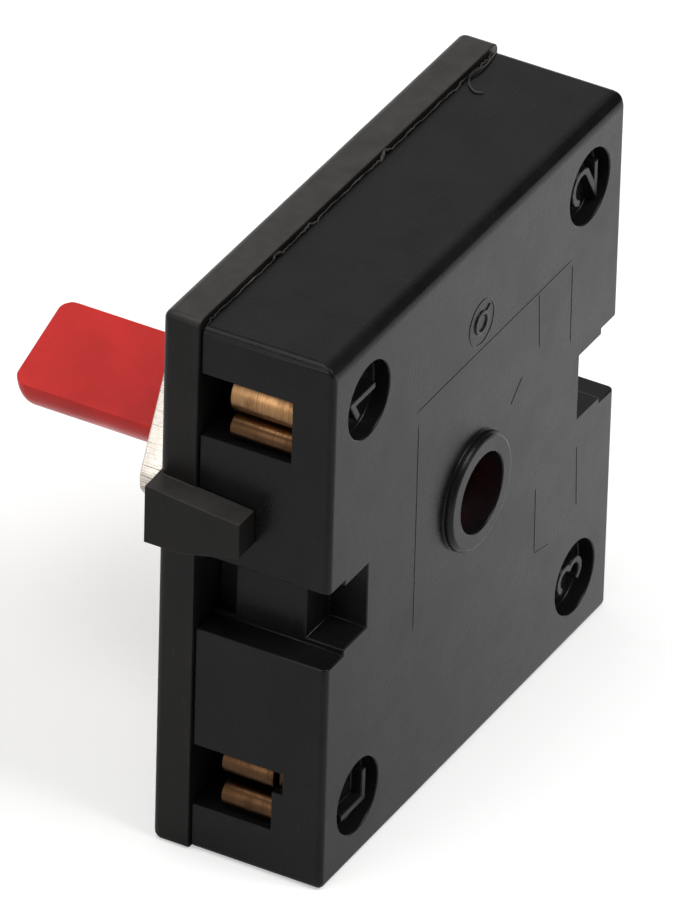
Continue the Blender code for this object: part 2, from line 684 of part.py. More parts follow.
def make_rotor(group, tools, material):
    """The rotor disc with its stop lug, wiper fences and pockets for springs and balls."""
    item = disc("rotor", group, ROTOR_RADIUS, ROTOR_BOTTOM, ROTOR_TOP, steps=64)
    lug_angle = STOP_RIB_ANGLE + STOP_WIDTH + STOP_LASH
    lug_outline = sector(STOP_INNER_RADIUS, ROTOR_RADIUS - SEAT_GAP, lug_angle, STOP_WIDTH)
    additions = [prism("stop_lug", tools, lug_outline, ROTOR_BOTTOM - STOP_LUG_DROP, ROTOR_BOTTOM + SINK)]
    along = Vector(polar(1.0, WIPER_ANGLE))
    across = Vector((-along.y, along.x))
    for side in (-1, 1):
        inner = across * side * (WIPER_WIDTH / 2 + RUN_GAP)
        outer = across * side * (WIPER_WIDTH / 2 + RUN_GAP + FENCE_WALL)
        start = along * FENCE_INNER
        end = along * (FENCE_INNER + FENCE_LENGTH)
        outline = [start + inner, end + inner, end + outer, start + outer]
        additions.append(prism(f"fence_{side}", tools, outline, ROTOR_BOTTOM - FENCE_DROP,
                               ROTOR_BOTTOM + SINK))
    join(item, additions)
    cutters = [hexagon("drive_hole", tools, DRIVE_ACROSS_FLATS + 2 * SEAT_GAP,
                       ROTOR_BOTTOM - OVERCUT, ROTOR_TOP + OVERCUT)]
    for side in (-1, 1):
        x, height = polar(side * SPRING_ORBIT, WIPER_ANGLE)
        cutters.append(disc(f"wiper_spring_pocket_{side}", tools, SPRING_POCKET_RADIUS,
                            ROTOR_BOTTOM - OVERCUT, SPRING_POCKET_TOP, x, height,
                            SMALL_STEPS))
        start = place(side * (ROTOR_RADIUS - BALL_POCKET_LENGTH), BALL_DEPTH, 0.0)
        end = place(side * (ROTOR_RADIUS + OVERCUT), BALL_DEPTH, 0.0)
        cutters.append(bar_along(f"ball_pocket_{side}", tools, BALL_POCKET_RADIUS, start, end))
    cut(item, cutters)
    item.data.materials.append(material)
    return item


def make_coil(name, group, start, end, radius, wire, material):
    """A compression spring between two world points, in whole turns near its pitch."""
    curve = bpy.data.curves.new(name, "CURVE")
    curve.dimensions = "3D"
    curve.bevel_depth = wire
    curve.bevel_resolution = 2
    curve.use_fill_caps = True
    spline = curve.splines.new("POLY")
    length = (end - start).length - 2 * wire
    count = round(length / SPRING_PITCH) * COIL_STEPS
    spline.points.add(count)
    for step in range(count + 1):
        angle = math.tau * step / COIL_STEPS
        x, y = polar(radius - wire, angle)
        spline.points[step].co = (x, y, wire + length * step / count, 1.0)
    turn = Vector((0.0, 0.0, 1.0)).rotation_difference(end - start)
    matrix = Matrix.Translation(start) @ turn.to_matrix().to_4x4()
    item = solid_from_curve(name, group, curve, matrix)
    item.data.materials.append(material)
    return item


def make_detents(group, material):
    """The two steel balls and the springs behind them, in the rotor's rim."""
    items = []
    for index, side in enumerate((-1, 1), start=1):
        def build(work):
            bmesh.ops.create_uvsphere(work, u_segments=16, v_segments=10, radius=BALL_RADIUS)

        ball_place = place(side * BALL_ORBIT, BALL_DEPTH, 0.0)
        mesh = mesh_from(build, f"detent_ball_{index}")
        ball = add_object(f"detent_ball_{index}", mesh, group, Matrix.Translation(ball_place))
        mesh.shade_smooth()
        mesh.materials.append(material)
        start = place(side * (ROTOR_RADIUS - BALL_POCKET_LENGTH + SEAT_GAP), BALL_DEPTH, 0.0)
        end = place(side * (BALL_ORBIT - BALL_RADIUS - SEAT_GAP), BALL_DEPTH, 0.0)
        spring = make_coil(f"detent_spring_{index}", group, start, end, BALL_RADIUS - SEAT_GAP,
                           DETENT_SPRING_WIRE, material)
        items += [ball, spring]
    return items


def make_wiper(group, tools, material):
    """The copper wiper bar with an eye that clears the spindle."""
    half = WIPER_WIDTH / 2
    degrees = math.degrees(WIPER_ANGLE)
    head = Vector(polar(WIPER_REACH - half, WIPER_ANGLE))
    tail = Vector(polar(half - WIPER_TAIL, WIPER_ANGLE))
    outline = arc(head, half, degrees - 90.0, degrees + 90.0, 8)
    outline += arc(tail, half, degrees + 90.0, degrees + 270.0, 8)
    item = prism("wiper", group, outline, WIPER_BOTTOM, WIPER_TOP)
    eye = disc("wiper_eye", tools, WIPER_EYE_RADIUS + SPIGOT_WALL, WIPER_BOTTOM, WIPER_TOP, steps=32)
    join(item, [eye])
    cutters = [disc("wiper_hole", tools, WIPER_EYE_RADIUS, WIPER_BOTTOM - OVERCUT, WIPER_TOP + OVERCUT,
                    steps=32)]
    for radius, orbit in contact_orbits():
        x, height = polar(orbit, WIPER_ANGLE)
        cutters.append(disc(f"wiper_rivet_hole_{orbit > 0}", tools, CONTACT_SHANK + SEAT_GAP,
                            WIPER_BOTTOM - OVERCUT, WIPER_TOP + OVERCUT, x, height, SMALL_STEPS))
    cut(item, cutters)
    item.data.materials.append(material)
    return item


def contact_orbits():
    """The wiper's two contacts as radius and signed distance from the axis."""
    ring_middle = (COMMON_RING_INNER + COMMON_RING_OUTER) / 2
    return (CONTACT_RADIUS, CONTACT_ORBIT), (INNER_CONTACT_RADIUS, -ring_middle)


def make_wiper_contacts(group, material):
    """The silver rivets under the wiper, one over the ring and one over the contacts."""
    items = []
    seats = (FIXED_CONTACT_TOP, STRIP_TOP)
    names = ("wiper_contact_outer", "wiper_contact_inner")
    for name, seat, (radius, orbit) in zip(names, seats, contact_orbits()):
        x, height = polar(orbit, WIPER_ANGLE)
        item = turned(name, group, [
            (0.0, WIPER_TOP),
            (CONTACT_SHANK, WIPER_TOP),
            (CONTACT_SHANK, WIPER_BOTTOM - SEAT_GAP),
            (radius, WIPER_BOTTOM - SEAT_GAP),
            (radius, seat + CONTACT_LIFT),
            (0.0, seat + CONTACT_LIFT)], x=x, height=height, steps=SMALL_STEPS)
        item.data.materials.append(material)
        items.append(item)
    return items


def make_wiper_springs(group, material):
    """The two springs that press the wiper down from the rotor."""
    items = []
    for index, side in enumerate((1, -1), start=1):
        x, height = polar(side * SPRING_ORBIT, WIPER_ANGLE)
        start = place(x, WIPER_TOP + SEAT_GAP, height)
        end = place(x, SPRING_POCKET_TOP - SEAT_GAP, height)
        items.append(make_coil(f"wiper_spring_{index}", group, start, end, SPRING_RADIUS,
                               WIPER_SPRING_WIRE, material))
    return items


def jaw_path(side, end, gap):
    """The folded strip of a terminal's two jaws, both noses facing out of the window."""
    half = JAW_SHEET / 2
    low = CHAMBER_LOW + SEAT_GAP + half
    high = CHAMBER_HIGH - SEAT_GAP - half
    middle = (CHAMBER_LOW + CHAMBER_HIGH) / 2
    inner_low = middle - gap / 2 - half
    inner_high = middle + gap / 2 + half
    lower_radius = (inner_low - low) / 2
    upper_radius = (high - inner_high) / 2
    nose = HALF_WIDTH - JAW_WIRE_SIDE_INSET - half
    path = [Vector((JAW_TAIL_X, inner_high))]
    path += arc((nose - upper_radius, inner_high + upper_radius), upper_radius, -90.0, 90.0, 8)
    path += [Vector((JAW_ROOT_X, high)), Vector((JAW_ROOT_X, low))]
    path += arc((nose - lower_radius, low + lower_radius), lower_radius, -90.0, 90.0, 8)
    path += [Vector((JAW_TAIL_X, inner_low))]
    return [Vector((side * point.x, end * point.y)) for point in path]


def strip_path(side, end, common):
    """The middle line of a terminal's strip, from its pad or the ring out to the window."""
    pad = Vector(polar(CONTACT_ORBIT, math.atan2(end, side)))
    start = Vector(polar(COMMON_RING_OUTER - STRIP_WIDTH / 4, WIPER_ANGLE)) if common else pad
    bend = Vector((side * STRIP_X, end * STRIP_X))
    shelf = end * (CHAMBER_LOW + CHANNEL_HEIGHT / 2)
    return [start, bend, Vector((side * STRIP_X, shelf)),
            Vector((side * (HALF_WIDTH - SHELF_INSET), shelf))]


def make_terminal(name, group, tools, side, end, material):
    """A stamped brass terminal: pad or common ring, strip and folded jaws."""
    common = side < 0 and end < 0
    path = strip_path(side, end, common)
    item = prism(name, group, stroke(path, STRIP_WIDTH), STRIP_BOTTOM, STRIP_TOP)
    gap = UPPER_GAP if end > 0 else LOWER_GAP
    floor = (FRONT_WALL if end > 0 else LOWER_FLOOR) + SEAT_GAP + JAW_LIFT
    jaws = stroke(jaw_path(side, end, gap), JAW_SHEET)
    additions = [prism(name + "_jaws", tools, jaws, floor, COVER_INNER - JAW_COVER_GAP)]
    shelf = path[-1].y
    root_half_width = JAW_SHEET / 2 - JAW_LIFT
    root_half_height = STRIP_WIDTH / 2 - JAW_LIFT
    additions.append(box(name + "_root", tools,
                         (side * JAW_ROOT_X - root_half_width, STRIP_BOTTOM + JAW_LIFT,
                          shelf - root_half_height),
                         (side * JAW_ROOT_X + root_half_width, floor + BRASS_THICKNESS,
                          shelf + root_half_height)))
    pad_radius = COMMON_RING_OUTER if common else PAD_RADIUS
    hole_radius = COMMON_RING_INNER if common else CONTACT_SHANK + SEAT_GAP
    centre = (0.0, 0.0) if common else path[0]
    additions.append(disc(name + "_pad", tools, pad_radius, STRIP_BOTTOM, STRIP_TOP, *centre, 32))
    join(item, additions)
    cut(item, [disc(name + "_hole", tools, hole_radius, STRIP_BOTTOM - OVERCUT, STRIP_TOP + OVERCUT,
                    *centre, SMALL_STEPS)])
    item.data.materials.append(material)
    return item


def make_fixed_contact(name, group, side, end, material):
    """A silver contact rivet in a terminal's pad."""
    x, height = polar(CONTACT_ORBIT, math.atan2(end, side))
    item = turned(name, group, [
        (0.0, FIXED_CONTACT_TOP),
        (CONTACT_RADIUS * 0.8, FIXED_CONTACT_TOP),
        (CONTACT_RADIUS, FIXED_CONTACT_TOP - CONTACT_HEAD / 4),
        (CONTACT_RADIUS, STRIP_TOP + SEAT_GAP),
        (CONTACT_SHANK, STRIP_TOP + SEAT_GAP),
        (CONTACT_SHANK, STRIP_BOTTOM),
        (0.0, STRIP_BOTTOM)], x=x, height=height, steps=SMALL_STEPS)
    item.data.materials.append(material)
    return item


def make_axis(group):
    """The empty on the spindle's axis that carries everything that turns."""
    axis = bpy.data.objects.new("spindle_axis", None)
    axis.location = place(0.0, 0.0, 0.0)
    axis.empty_display_size = SHAFT_RADIUS * 2
    group.objects.link(axis)
    return axis


def carry(axis, items):
    """Parents pieces to the axis without moving them."""
    bpy.context.view_layer.update()
    for item in items:
        item.parent = axis
        item.matrix_parent_inverse = axis.matrix_world.inverted()


def build_switch():
    """Builds every piece of the switch."""
    clear_scene()
    group = add_collection("Fan switch")
    tools = add_collection("Fan switch cutters")
    black = add_material("black_moulded_plastic", (0.020, 0.020, 0.021), 0.45)
    red = add_material("red_spindle_plastic", (0.48, 0.035, 0.035), 0.4)
    nylon = add_material("natural_nylon", (0.78, 0.76, 0.70), 0.45)
    brass = add_material("stamped_brass", (0.72, 0.50, 0.22), 0.3, 1.0)
    copper = add_material("sprung_copper", (0.80, 0.42, 0.26), 0.3, 1.0)
    silver = add_material("silver_contact", (0.86, 0.85, 0.82), 0.25, 1.0)
    nickel = add_material("bright_nickel_plate", (0.78, 0.76, 0.72), 0.2, 1.0)
    steel = add_material("spring_steel", (0.56, 0.56, 0.57), 0.28, 1.0)

    make_housing(group, tools, black)
    make_cover(group, tools, black)
    make_bushing(group, tools, nickel)
    make_nut(group, tools, nickel)
    for label, (side, end) in CORNERS.items():
        make_terminal("terminal_" + label, group, tools, side, end, brass)
        if label != "L":
            make_fixed_contact("contact_" + label, group, side, end, silver)
    turning = [make_spindle(group, tools, red), make_rotor(group, tools, nylon)]
    turning.append(make_wiper(group, tools, copper))
    turning += make_wiper_contacts(group, silver)
    turning += make_wiper_springs(group, steel)
    turning += make_detents(group, steel)
    carry(make_axis(group), turning)


build_switch()
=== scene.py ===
"""Looks of a rotary fan selector switch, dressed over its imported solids.

The switch stands on its narrow bottom face. Depths are counted from the
numbered face towards the spindle's tip, and heights from the spindle's axis.
"""

import math

import bmesh
import bpy
import numpy as np
from mathutils import Matrix


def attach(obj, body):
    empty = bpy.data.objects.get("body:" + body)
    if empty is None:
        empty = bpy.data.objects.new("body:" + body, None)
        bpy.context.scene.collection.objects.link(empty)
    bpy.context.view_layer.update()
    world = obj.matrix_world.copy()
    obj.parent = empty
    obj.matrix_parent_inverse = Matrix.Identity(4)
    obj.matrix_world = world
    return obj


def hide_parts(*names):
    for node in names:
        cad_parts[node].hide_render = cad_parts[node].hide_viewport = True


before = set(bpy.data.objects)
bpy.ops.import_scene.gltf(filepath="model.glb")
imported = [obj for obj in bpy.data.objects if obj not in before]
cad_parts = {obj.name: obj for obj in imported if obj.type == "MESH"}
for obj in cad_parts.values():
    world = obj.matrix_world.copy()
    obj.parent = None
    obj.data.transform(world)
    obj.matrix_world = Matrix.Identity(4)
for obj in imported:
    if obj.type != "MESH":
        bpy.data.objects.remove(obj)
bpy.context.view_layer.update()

# The view: a long lens looks down on the numbered face and the left side.
# It leans by 1.6 degrees, as the photograph does.
MM = 0.001
VIEW_TARGET = np.array([-15.515, -13.25, 28.23]) * MM
VIEW_DISTANCE = 760.2 * MM
VIEW_AZIMUTH = math.radians(-61.576)
VIEW_ELEVATION = math.radians(33.745)
VIEW_ROLL = math.radians(1.641)

backward = np.array([
    math.sin(VIEW_AZIMUTH) * math.cos(VIEW_ELEVATION),
    -math.cos(VIEW_AZIMUTH) * math.cos(VIEW_ELEVATION),
    math.sin(VIEW_ELEVATION)])
level = np.cross(-backward, (0.0, 0.0, 1.0))
level /= np.linalg.norm(level)
raised = np.cross(level, -backward)
camera_right = math.cos(VIEW_ROLL) * level + math.sin(VIEW_ROLL) * raised
camera_up = math.cos(VIEW_ROLL) * raised - math.sin(VIEW_ROLL) * level
camera_turn = Matrix(np.column_stack([camera_right, camera_up, backward]).tolist())
camera = bpy.data.objects.new("camera", bpy.data.cameras.new("camera"))
camera.data.lens = 581.7
camera.data.clip_start = 0.01
camera.matrix_world = (Matrix.Translation(VIEW_TARGET + backward * VIEW_DISTANCE)
                       @ camera_turn.to_4x4())
bpy.context.scene.collection.objects.link(camera)
bpy.context.scene.camera = camera
bpy.context.scene.view_settings.view_transform = "Standard"

# The stage: a wide sheet of white card under the switch, with nothing behind it.
# The card's own glow makes it read as white while the switch still throws its shadow
# on it. Mirrored in the numbered face the glow rises from left to right, as on a card
# under a large lamp, and it fades out towards what the left side mirrors. For both, a
# direction on the card and the span of the change along it are given.
FLOOR_HALF = 3.0
FLOOR_DROP = 0.02 * MM
FLOOR_GLOW = 0.42
MIRRORED_GLOW = (0.38, 1.80)
RIGHTWARD = (1.0, 1.833, 0.0)
RIGHTWARD_SPAN = (-40.3 * MM, -8.3 * MM)
FORWARD = (1.32, -0.72, 0.0)
FORWARD_SPAN = (-16.0 * MM, -6.0 * MM)


def linear(code):
    """An sRGB hex colour as linear red, green, blue and 1: each part is divided by 255,
    then (part + 0.055) / 1.055 to the power 2.4, or part / 12.92 where it is very dark."""
    parts = np.array([int(code[i:i + 2], 16) for i in (1, 3, 5)]) / 255
    bright = ((parts + 0.055) / 1.055) ** 2.4
    return (*np.where(parts > 0.04045, bright, parts / 12.92).tolist(), 1.0)


def add_node(tree, kind, inputs=None, **settings):
    """Adds a node, sets its properties, then links or fills its inputs."""
    node = tree.nodes.new(kind)
    for key, value in settings.items():
        setattr(node, key, value)
    for key, value in (inputs or {}).items():
        if isinstance(value, bpy.types.NodeSocket):
            tree.links.new(value, node.inputs[key])
        else:
            node.inputs[key].default_value = value
    return node


def eye_rays(tree, mirrored):
    """1 for rays from the eye, the mirrored share for rays from a mirror or a clear
    piece, and 0 for the rest."""
    path = add_node(tree, "ShaderNodeLightPath").outputs
    passed = add_node(tree, "ShaderNodeMath", {0: path["Is Glossy Ray"], 1: path["Is Transmission Ray"]},
                      operation="MAXIMUM").outputs[0]
    share = add_node(tree, "ShaderNodeMath", {0: passed, 1: mirrored}, operation="MULTIPLY").outputs[0]
    return add_node(tree, "ShaderNodeMath", {0: path["Is Camera Ray"], 1: share},
                    operation="MAXIMUM").outputs[0]


corners = np.array([(-1, -1, 0), (1, -1, 0), (1, 1, 0), (-1, 1, 0)]) * FLOOR_HALF
corners[:, 2] = -FLOOR_DROP
floor_mesh = bpy.data.meshes.new("floor")
floor_mesh.from_pydata(corners.tolist(), [], [(0, 1, 2, 3)])
floor = bpy.data.objects.new("floor", floor_mesh)
bpy.context.scene.collection.objects.link(floor)
card = bpy.data.materials.new("white_card")
card.use_nodes = True
card_shader = card.node_tree.nodes["Principled BSDF"]
card_shader.inputs["Base Color"].default_value = linear("#dadad9")
card_shader.inputs["Roughness"].default_value = 0.9
card_shader.inputs["Specular IOR Level"].default_value = 0.1
card_shader.inputs["Emission Color"].default_value = linear("#ffffff")
place = add_node(card.node_tree, "ShaderNodeTexCoord").outputs["Object"]
rightward = add_node(card.node_tree, "ShaderNodeVectorMath", {
    0: place, 1: RIGHTWARD}, operation="DOT_PRODUCT").outputs["Value"]
forward = add_node(card.node_tree, "ShaderNodeVectorMath", {
    0: place, 1: FORWARD}, operation="DOT_PRODUCT").outputs["Value"]
rise = add_node(card.node_tree, "ShaderNodeMapRange", {
    "Value": rightward, "From Min": RIGHTWARD_SPAN[0], "From Max": RIGHTWARD_SPAN[1],
    "To Min": MIRRORED_GLOW[0], "To Max": MIRRORED_GLOW[1]}).outputs[0]
ahead = add_node(card.node_tree, "ShaderNodeMapRange", {
    "Value": forward, "From Min": FORWARD_SPAN[0], "From Max": FORWARD_SPAN[1]},
    interpolation_type="SMOOTHSTEP").outputs[0]
mirrored = add_node(card.node_tree, "ShaderNodeMath", {
    0: rise, 1: ahead}, operation="MULTIPLY").outputs[0]
glow = add_node(card.node_tree, "ShaderNodeMath", {
    0: eye_rays(card.node_tree, mirrored), 1: FLOOR_GLOW}, operation="MULTIPLY")
card.node_tree.links.new(glow.outputs[0], card_shader.inputs["Emission Strength"])
floor_mesh.materials.append(card)

# The world: an even fill where it gives light. To the eye and in mirrors it is bright
# near the horizon behind the switch, dimmer overhead and nearly dark in front.
WORLD_FILL = 0.28
world = bpy.data.worlds.new("studio")
world.use_nodes = True
bpy.context.scene.world = world
sky = world.node_tree
direction = add_node(sky, "ShaderNodeTexCoord").outputs["Generated"]
parts = add_node(sky, "ShaderNodeSeparateXYZ", {0: direction}).outputs
ceiling = add_node(sky, "ShaderNodeMapRange", {
    "Value": parts["Z"], "From Min": 0.10, "From Max": 0.90, "To Min": 1.0, "To Max": 0.15}).outputs[0]
behind = add_node(sky, "ShaderNodeMapRange", {
    "Value": parts["Y"], "From Min": -0.35, "From Max": 0.25, "To Min": 0.05},
    interpolation_type="SMOOTHSTEP").outputs[0]
mirrored_sky = add_node(sky, "ShaderNodeMath", {0: ceiling, 1: behind}, operation="MULTIPLY").outputs[0]
strength = add_node(sky, "ShaderNodeMix", {
    0: eye_rays(sky, 1.0), 2: WORLD_FILL, 3: mirrored_sky}, data_type="FLOAT").outputs[0]
backdrop = sky.nodes["Background"]
backdrop.inputs["Color"].default_value = linear("#ffffff")
sky.links.new(strength, backdrop.inputs["Strength"])

# Soft boxes: the main one hangs high in front of the numbered face and lights the
# card that the face mirrors. Two weaker ones lift the top, the left and the spindle.
SOFT_BOXES = {
    "key": ((0.04, -0.38, 0.53), 0.30, 2.4),
    "top": ((-0.12, 0.14, 0.60), 0.45, 1.6),
    "left": ((-0.60, 0.10, 0.22), 0.35, 0.7),
}
for name, (place, size, power) in SOFT_BOXES.items():
    lamp = bpy.data.lights.new(name, "AREA")
    lamp.shape = "SQUARE"
    lamp.size = size
    lamp.energy = power
    box = bpy.data.objects.new(name, lamp)
    away = np.array(place) / np.linalg.norm(place)
    side = np.cross((0.0, 0.0, 1.0), away)
    side /= np.linalg.norm(side)
    facing = Matrix(np.column_stack([side, np.cross(away, side), away]).tolist())
    box.matrix_world = Matrix.Translation(place) @ facing.to_4x4()
    bpy.context.scene.collection.objects.link(box)

# Housing: one moulding in black glass-filled PBT, open at the back. Its numbered
# face came off a spark-eroded mould, so it is matt with a fine grain and faint
# flow clouds, and its edges keep the mould's small radii.
FACE_Y = -13.25 * MM
AXIS_Z = 16.7 * MM
WELD = 0.0002 * MM
HOUSING_EDGE = 0.07 * MM


def moulded_plastic(name, body, cloud, bloom, roughness, specular, grain_height):
    """A moulded plastic. Colour: body to cloud by slow noise, then bloom by noise drawn
    out along Z and by the peaks of a small noise. Roughness follows the slow noise.
    Bump: fine grain, on a slower waviness."""
    material = bpy.data.materials.new(name)
    material.use_nodes = True
    tree = material.node_tree
    shader = tree.nodes["Principled BSDF"]
    point = add_node(tree, "ShaderNodeTexCoord").outputs["Object"]
    clouds = add_node(tree, "ShaderNodeTexNoise", {
        "Vector": point, "Scale": 1 / (3.0 * MM), "Detail": 5.0, "Roughness": 0.6}).outputs["Fac"]
    drawn = add_node(tree, "ShaderNodeMapping", {
        "Vector": point, "Scale": (1 / (0.16 * MM), 1 / (0.16 * MM), 1 / (1.1 * MM))}).outputs[0]
    marks = add_node(tree, "ShaderNodeTexNoise", {
        "Vector": drawn, "Scale": 1.0, "Detail": 2.0}).outputs["Fac"]
    specks = add_node(tree, "ShaderNodeTexNoise", {
        "Vector": point, "Scale": 1 / (0.22 * MM), "Detail": 1.0}).outputs["Fac"]
    cloudy = add_node(tree, "ShaderNodeMapRange", {
        "Value": clouds, "From Min": 0.35, "From Max": 0.68}).outputs[0]
    marked = add_node(tree, "ShaderNodeMapRange", {
        "Value": marks, "From Min": 0.66, "From Max": 0.84, "To Max": 0.35}).outputs[0]
    dusty = add_node(tree, "ShaderNodeMapRange", {
        "Value": specks, "From Min": 0.78, "From Max": 0.84, "To Max": 0.6}).outputs[0]
    lighter = add_node(tree, "ShaderNodeMath", {0: marked, 1: dusty}, operation="MAXIMUM").outputs[0]
    colour = add_node(tree, "ShaderNodeMix", {
        0: cloudy, 6: linear(body), 7: linear(cloud)}, data_type="RGBA").outputs[2]
    bloomed = add_node(tree, "ShaderNodeMix", {
        0: lighter, 6: colour, 7: linear(bloom)}, data_type="RGBA").outputs[2]
    tree.links.new(bloomed, shader.inputs["Base Color"])
    rough = add_node(tree, "ShaderNodeMapRange", {
        "Value": clouds, "From Min": 0.3, "From Max": 0.7,
        "To Min": roughness - 0.06, "To Max": roughness + 0.06}).outputs[0]
    tree.links.new(rough, shader.inputs["Roughness"])
    shader.inputs["Specular IOR Level"].default_value = specular
    grain = add_node(tree, "ShaderNodeTexNoise", {
        "Vector": point, "Scale": 1 / (0.13 * MM), "Detail": 2.0}).outputs["Fac"]
    waves = add_node(tree, "ShaderNodeBump", {
        "Height": clouds, "Distance": 0.02 * MM, "Strength": 0.5}).outputs[0]
    pitted = add_node(tree, "ShaderNodeBump", {
        "Height": grain, "Distance": grain_height, "Strength": 1.0, "Normal": waves}).outputs[0]
    tree.links.new(pitted, shader.inputs["Normal"])
    return material


def add_piece(mesh, material):
    """An object at the origin that shows a mesh in one material."""
    piece = bpy.data.objects.new(mesh.name, mesh)
    mesh.materials.clear()
    mesh.materials.append(material)
    bpy.context.scene.collection.objects.link(piece)
    return piece


def joined_copy(node, name, material, edge):
    """A node's own shape as one piece: doubles merged, flat areas made whole, and every
    edge over 30 degrees rounded by a live bevel of that width."""
    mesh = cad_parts[node].data.copy()
    mesh.name = name
    work = bmesh.new()
    work.from_mesh(mesh)
    bmesh.ops.remove_doubles(work, verts=work.verts, dist=WELD)
    bmesh.ops.dissolve_limit(work, angle_limit=math.radians(0.6), verts=work.verts,
                             edges=work.edges)
    work.to_mesh(mesh)
    work.free()
    mesh.shade_smooth()
    mesh.set_sharp_from_angle(angle=math.radians(30.0))
    piece = add_piece(mesh, material)
    rounding = piece.modifiers.new("edges", "BEVEL")
    rounding.limit_method = "ANGLE"
    rounding.angle_limit = math.radians(30.0)
    rounding.width = edge
    rounding.segments = 2
    rounding.use_clamp_overlap = False
    level = piece.modifiers.new("flat areas", "WEIGHTED_NORMAL")
    level.keep_sharp = True
    return piece


black_pbt = moulded_plastic("black_pbt_spark_grained", "#101011", "#161617", "#3e3c3b",
                            0.29, 0.18, 0.010 * MM)
housing = joined_copy("housing", "housing_shell", black_pbt, HOUSING_EDGE)
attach(housing, "casing")
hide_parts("housing")

# Marks of the mould on the numbered face: hair lines where its inserts meet, and a
# round cavity stamp with a small turned six. They are in the housing's own plastic.
LINE_HALF_WIDTH = 0.045 * MM
LINE_HEIGHT = 0.025 * MM
STAMP_HALF_WIDTH = 0.075 * MM
STAMP_HEIGHT = 0.07 * MM
STAMP_RADIUS = 1.33 * MM
STAMP_CENTRE = np.array([0.20, 10.66]) * MM


def at(x, depth, height):
    """World points: x, then depth behind the numbered face, then height from the axis."""
    x, depth, height = np.broadcast_arrays(x, depth, height)
    return np.stack([x, FACE_Y + depth, AXIS_Z + height], axis=-1)


def skin(name, grid, material, ring=False):
    """A closed mesh over rows of points. Each row is a loop. Quads join each row to the
    next, and the end rows join each other or close in a fan to their own middle."""
    rows, columns = grid.shape[:2]
    index = np.arange(rows * columns).reshape(rows, columns)
    points = grid.reshape(-1, 3)
    if ring:
        index = np.vstack([index, index[:1]])
    index = np.hstack([index, index[:, :1]])
    faces = np.stack([index[:-1, :-1], index[1:, :-1], index[1:, 1:], index[:-1, 1:]],
                     axis=-1).reshape(-1, 4).tolist()
    if not ring:
        points = np.vstack([points, grid[[0, -1]].mean(axis=1)])
        for row, middle in ((0, rows * columns), (-1, rows * columns + 1)):
            fan = np.stack([index[row, :-1], index[row, 1:], np.full(columns, middle)], axis=-1)
            faces += fan.tolist()
    mesh = bpy.data.meshes.new(name)
    mesh.from_pydata(points.tolist(), [], faces)
    work = bmesh.new()
    work.from_mesh(mesh)
    bmesh.ops.recalc_face_normals(work, faces=work.faces)
    work.to_mesh(mesh)
    work.free()
    mesh.shade_smooth()
    mesh.set_sharp_from_angle(angle=math.radians(35.0))
    return add_piece(mesh, material)


def gather(name, pieces):
    """Several closed pieces as the shells of one mesh."""
    work = bmesh.new()
    for piece in pieces:
        work.from_mesh(piece.data)
    mesh = bpy.data.meshes.new(name)
    work.to_mesh(mesh)
    work.free()
    material = pieces[0].data.materials[0]
    for piece in pieces:
        bpy.data.objects.remove(piece, do_unlink=True)
    mesh.shade_smooth()
    mesh.set_sharp_from_angle(angle=math.radians(35.0))
    return add_piece(mesh, material)


def headings(path, closed):
    """Unit steps along a path at each point: forward less backward neighbour."""
    if closed:
        steps = np.roll(path, -1, axis=0) - np.roll(path, 1, axis=0)
    else:
        steps = np.gradient(path, axis=0)
    return steps / np.linalg.norm(steps, axis=1, keepdims=True)


def ridge(name, path, half_width, height, closed=False):
    """A bead along a flat path on the numbered face: an ellipse carried along it, half
    of it sunk, shrinking as the root of the distance near open ends."""
    path = np.asarray(path, dtype=float)
    heading = headings(path, closed)
    across = np.stack([-heading[:, 1], heading[:, 0]], axis=-1)
    turn = np.linspace(0.0, math.tau, 10, endpoint=False)
    size = np.ones(len(path))
    if not closed:
        along = np.linspace(0.0, 1.0, len(path))
        size = np.sqrt(np.clip(np.minimum(along, 1 - along) / 0.04, 0.02, 1.0))
    reach = across * size[:, None]
    flat = path[:, None, :] + reach[:, None, :] * (half_width * np.cos(turn))[None, :, None]
    lift = -height * size[:, None] * np.sin(turn)[None, :]
    return skin(name, at(flat[..., 0], lift, flat[..., 1]), black_pbt, ring=closed)


def straight(start, end, count=60):
    """Even points from start to end, in millimetres."""
    return np.linspace(start, end, count) * MM


line_ends = [((-6.53, 7.99), (-6.45, -5.36)), ((-6.9, 8.8), (10.6, 8.95)),
             ((6.75, 8.8), (7.0, 5.2)), ((7.15, -3.98), (7.25, -8.23)), ((7.3, -8.3), (8.9, -8.66)),
             ((10.5, 8.6), (10.55, 3.6)), ((11.8, -3.9), (12.0, -7.9)), ((3.9, 3.3), (5.1, 4.4))]
lines = gather("mould_lines", [ridge(f"line_{number}", straight(*ends), LINE_HALF_WIDTH, LINE_HEIGHT)
                               for number, ends in enumerate(line_ends)])
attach(lines, "casing")

turn = np.linspace(0.0, math.tau, 72, endpoint=False)
circle = np.stack([np.cos(turn), np.sin(turn)], axis=-1)
bowl = STAMP_CENTRE + np.array([-0.06, 0.02]) * MM + circle * 0.6 * MM
tail = STAMP_CENTRE + np.stack([np.linspace(0.34, 0.88, 24), np.linspace(0.46, 0.74, 24)], axis=-1) * MM
stamp = gather("cavity_stamp", [
    ridge("stamp_ring", STAMP_CENTRE + circle * STAMP_RADIUS, STAMP_HALF_WIDTH * 0.5,
          STAMP_HEIGHT * 0.45, closed=True),
    ridge("stamp_bowl", bowl, STAMP_HALF_WIDTH * 1.7, STAMP_HEIGHT * 1.3, closed=True),
    ridge("stamp_tail", tail, STAMP_HALF_WIDTH, STAMP_HEIGHT)])
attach(stamp, "casing")

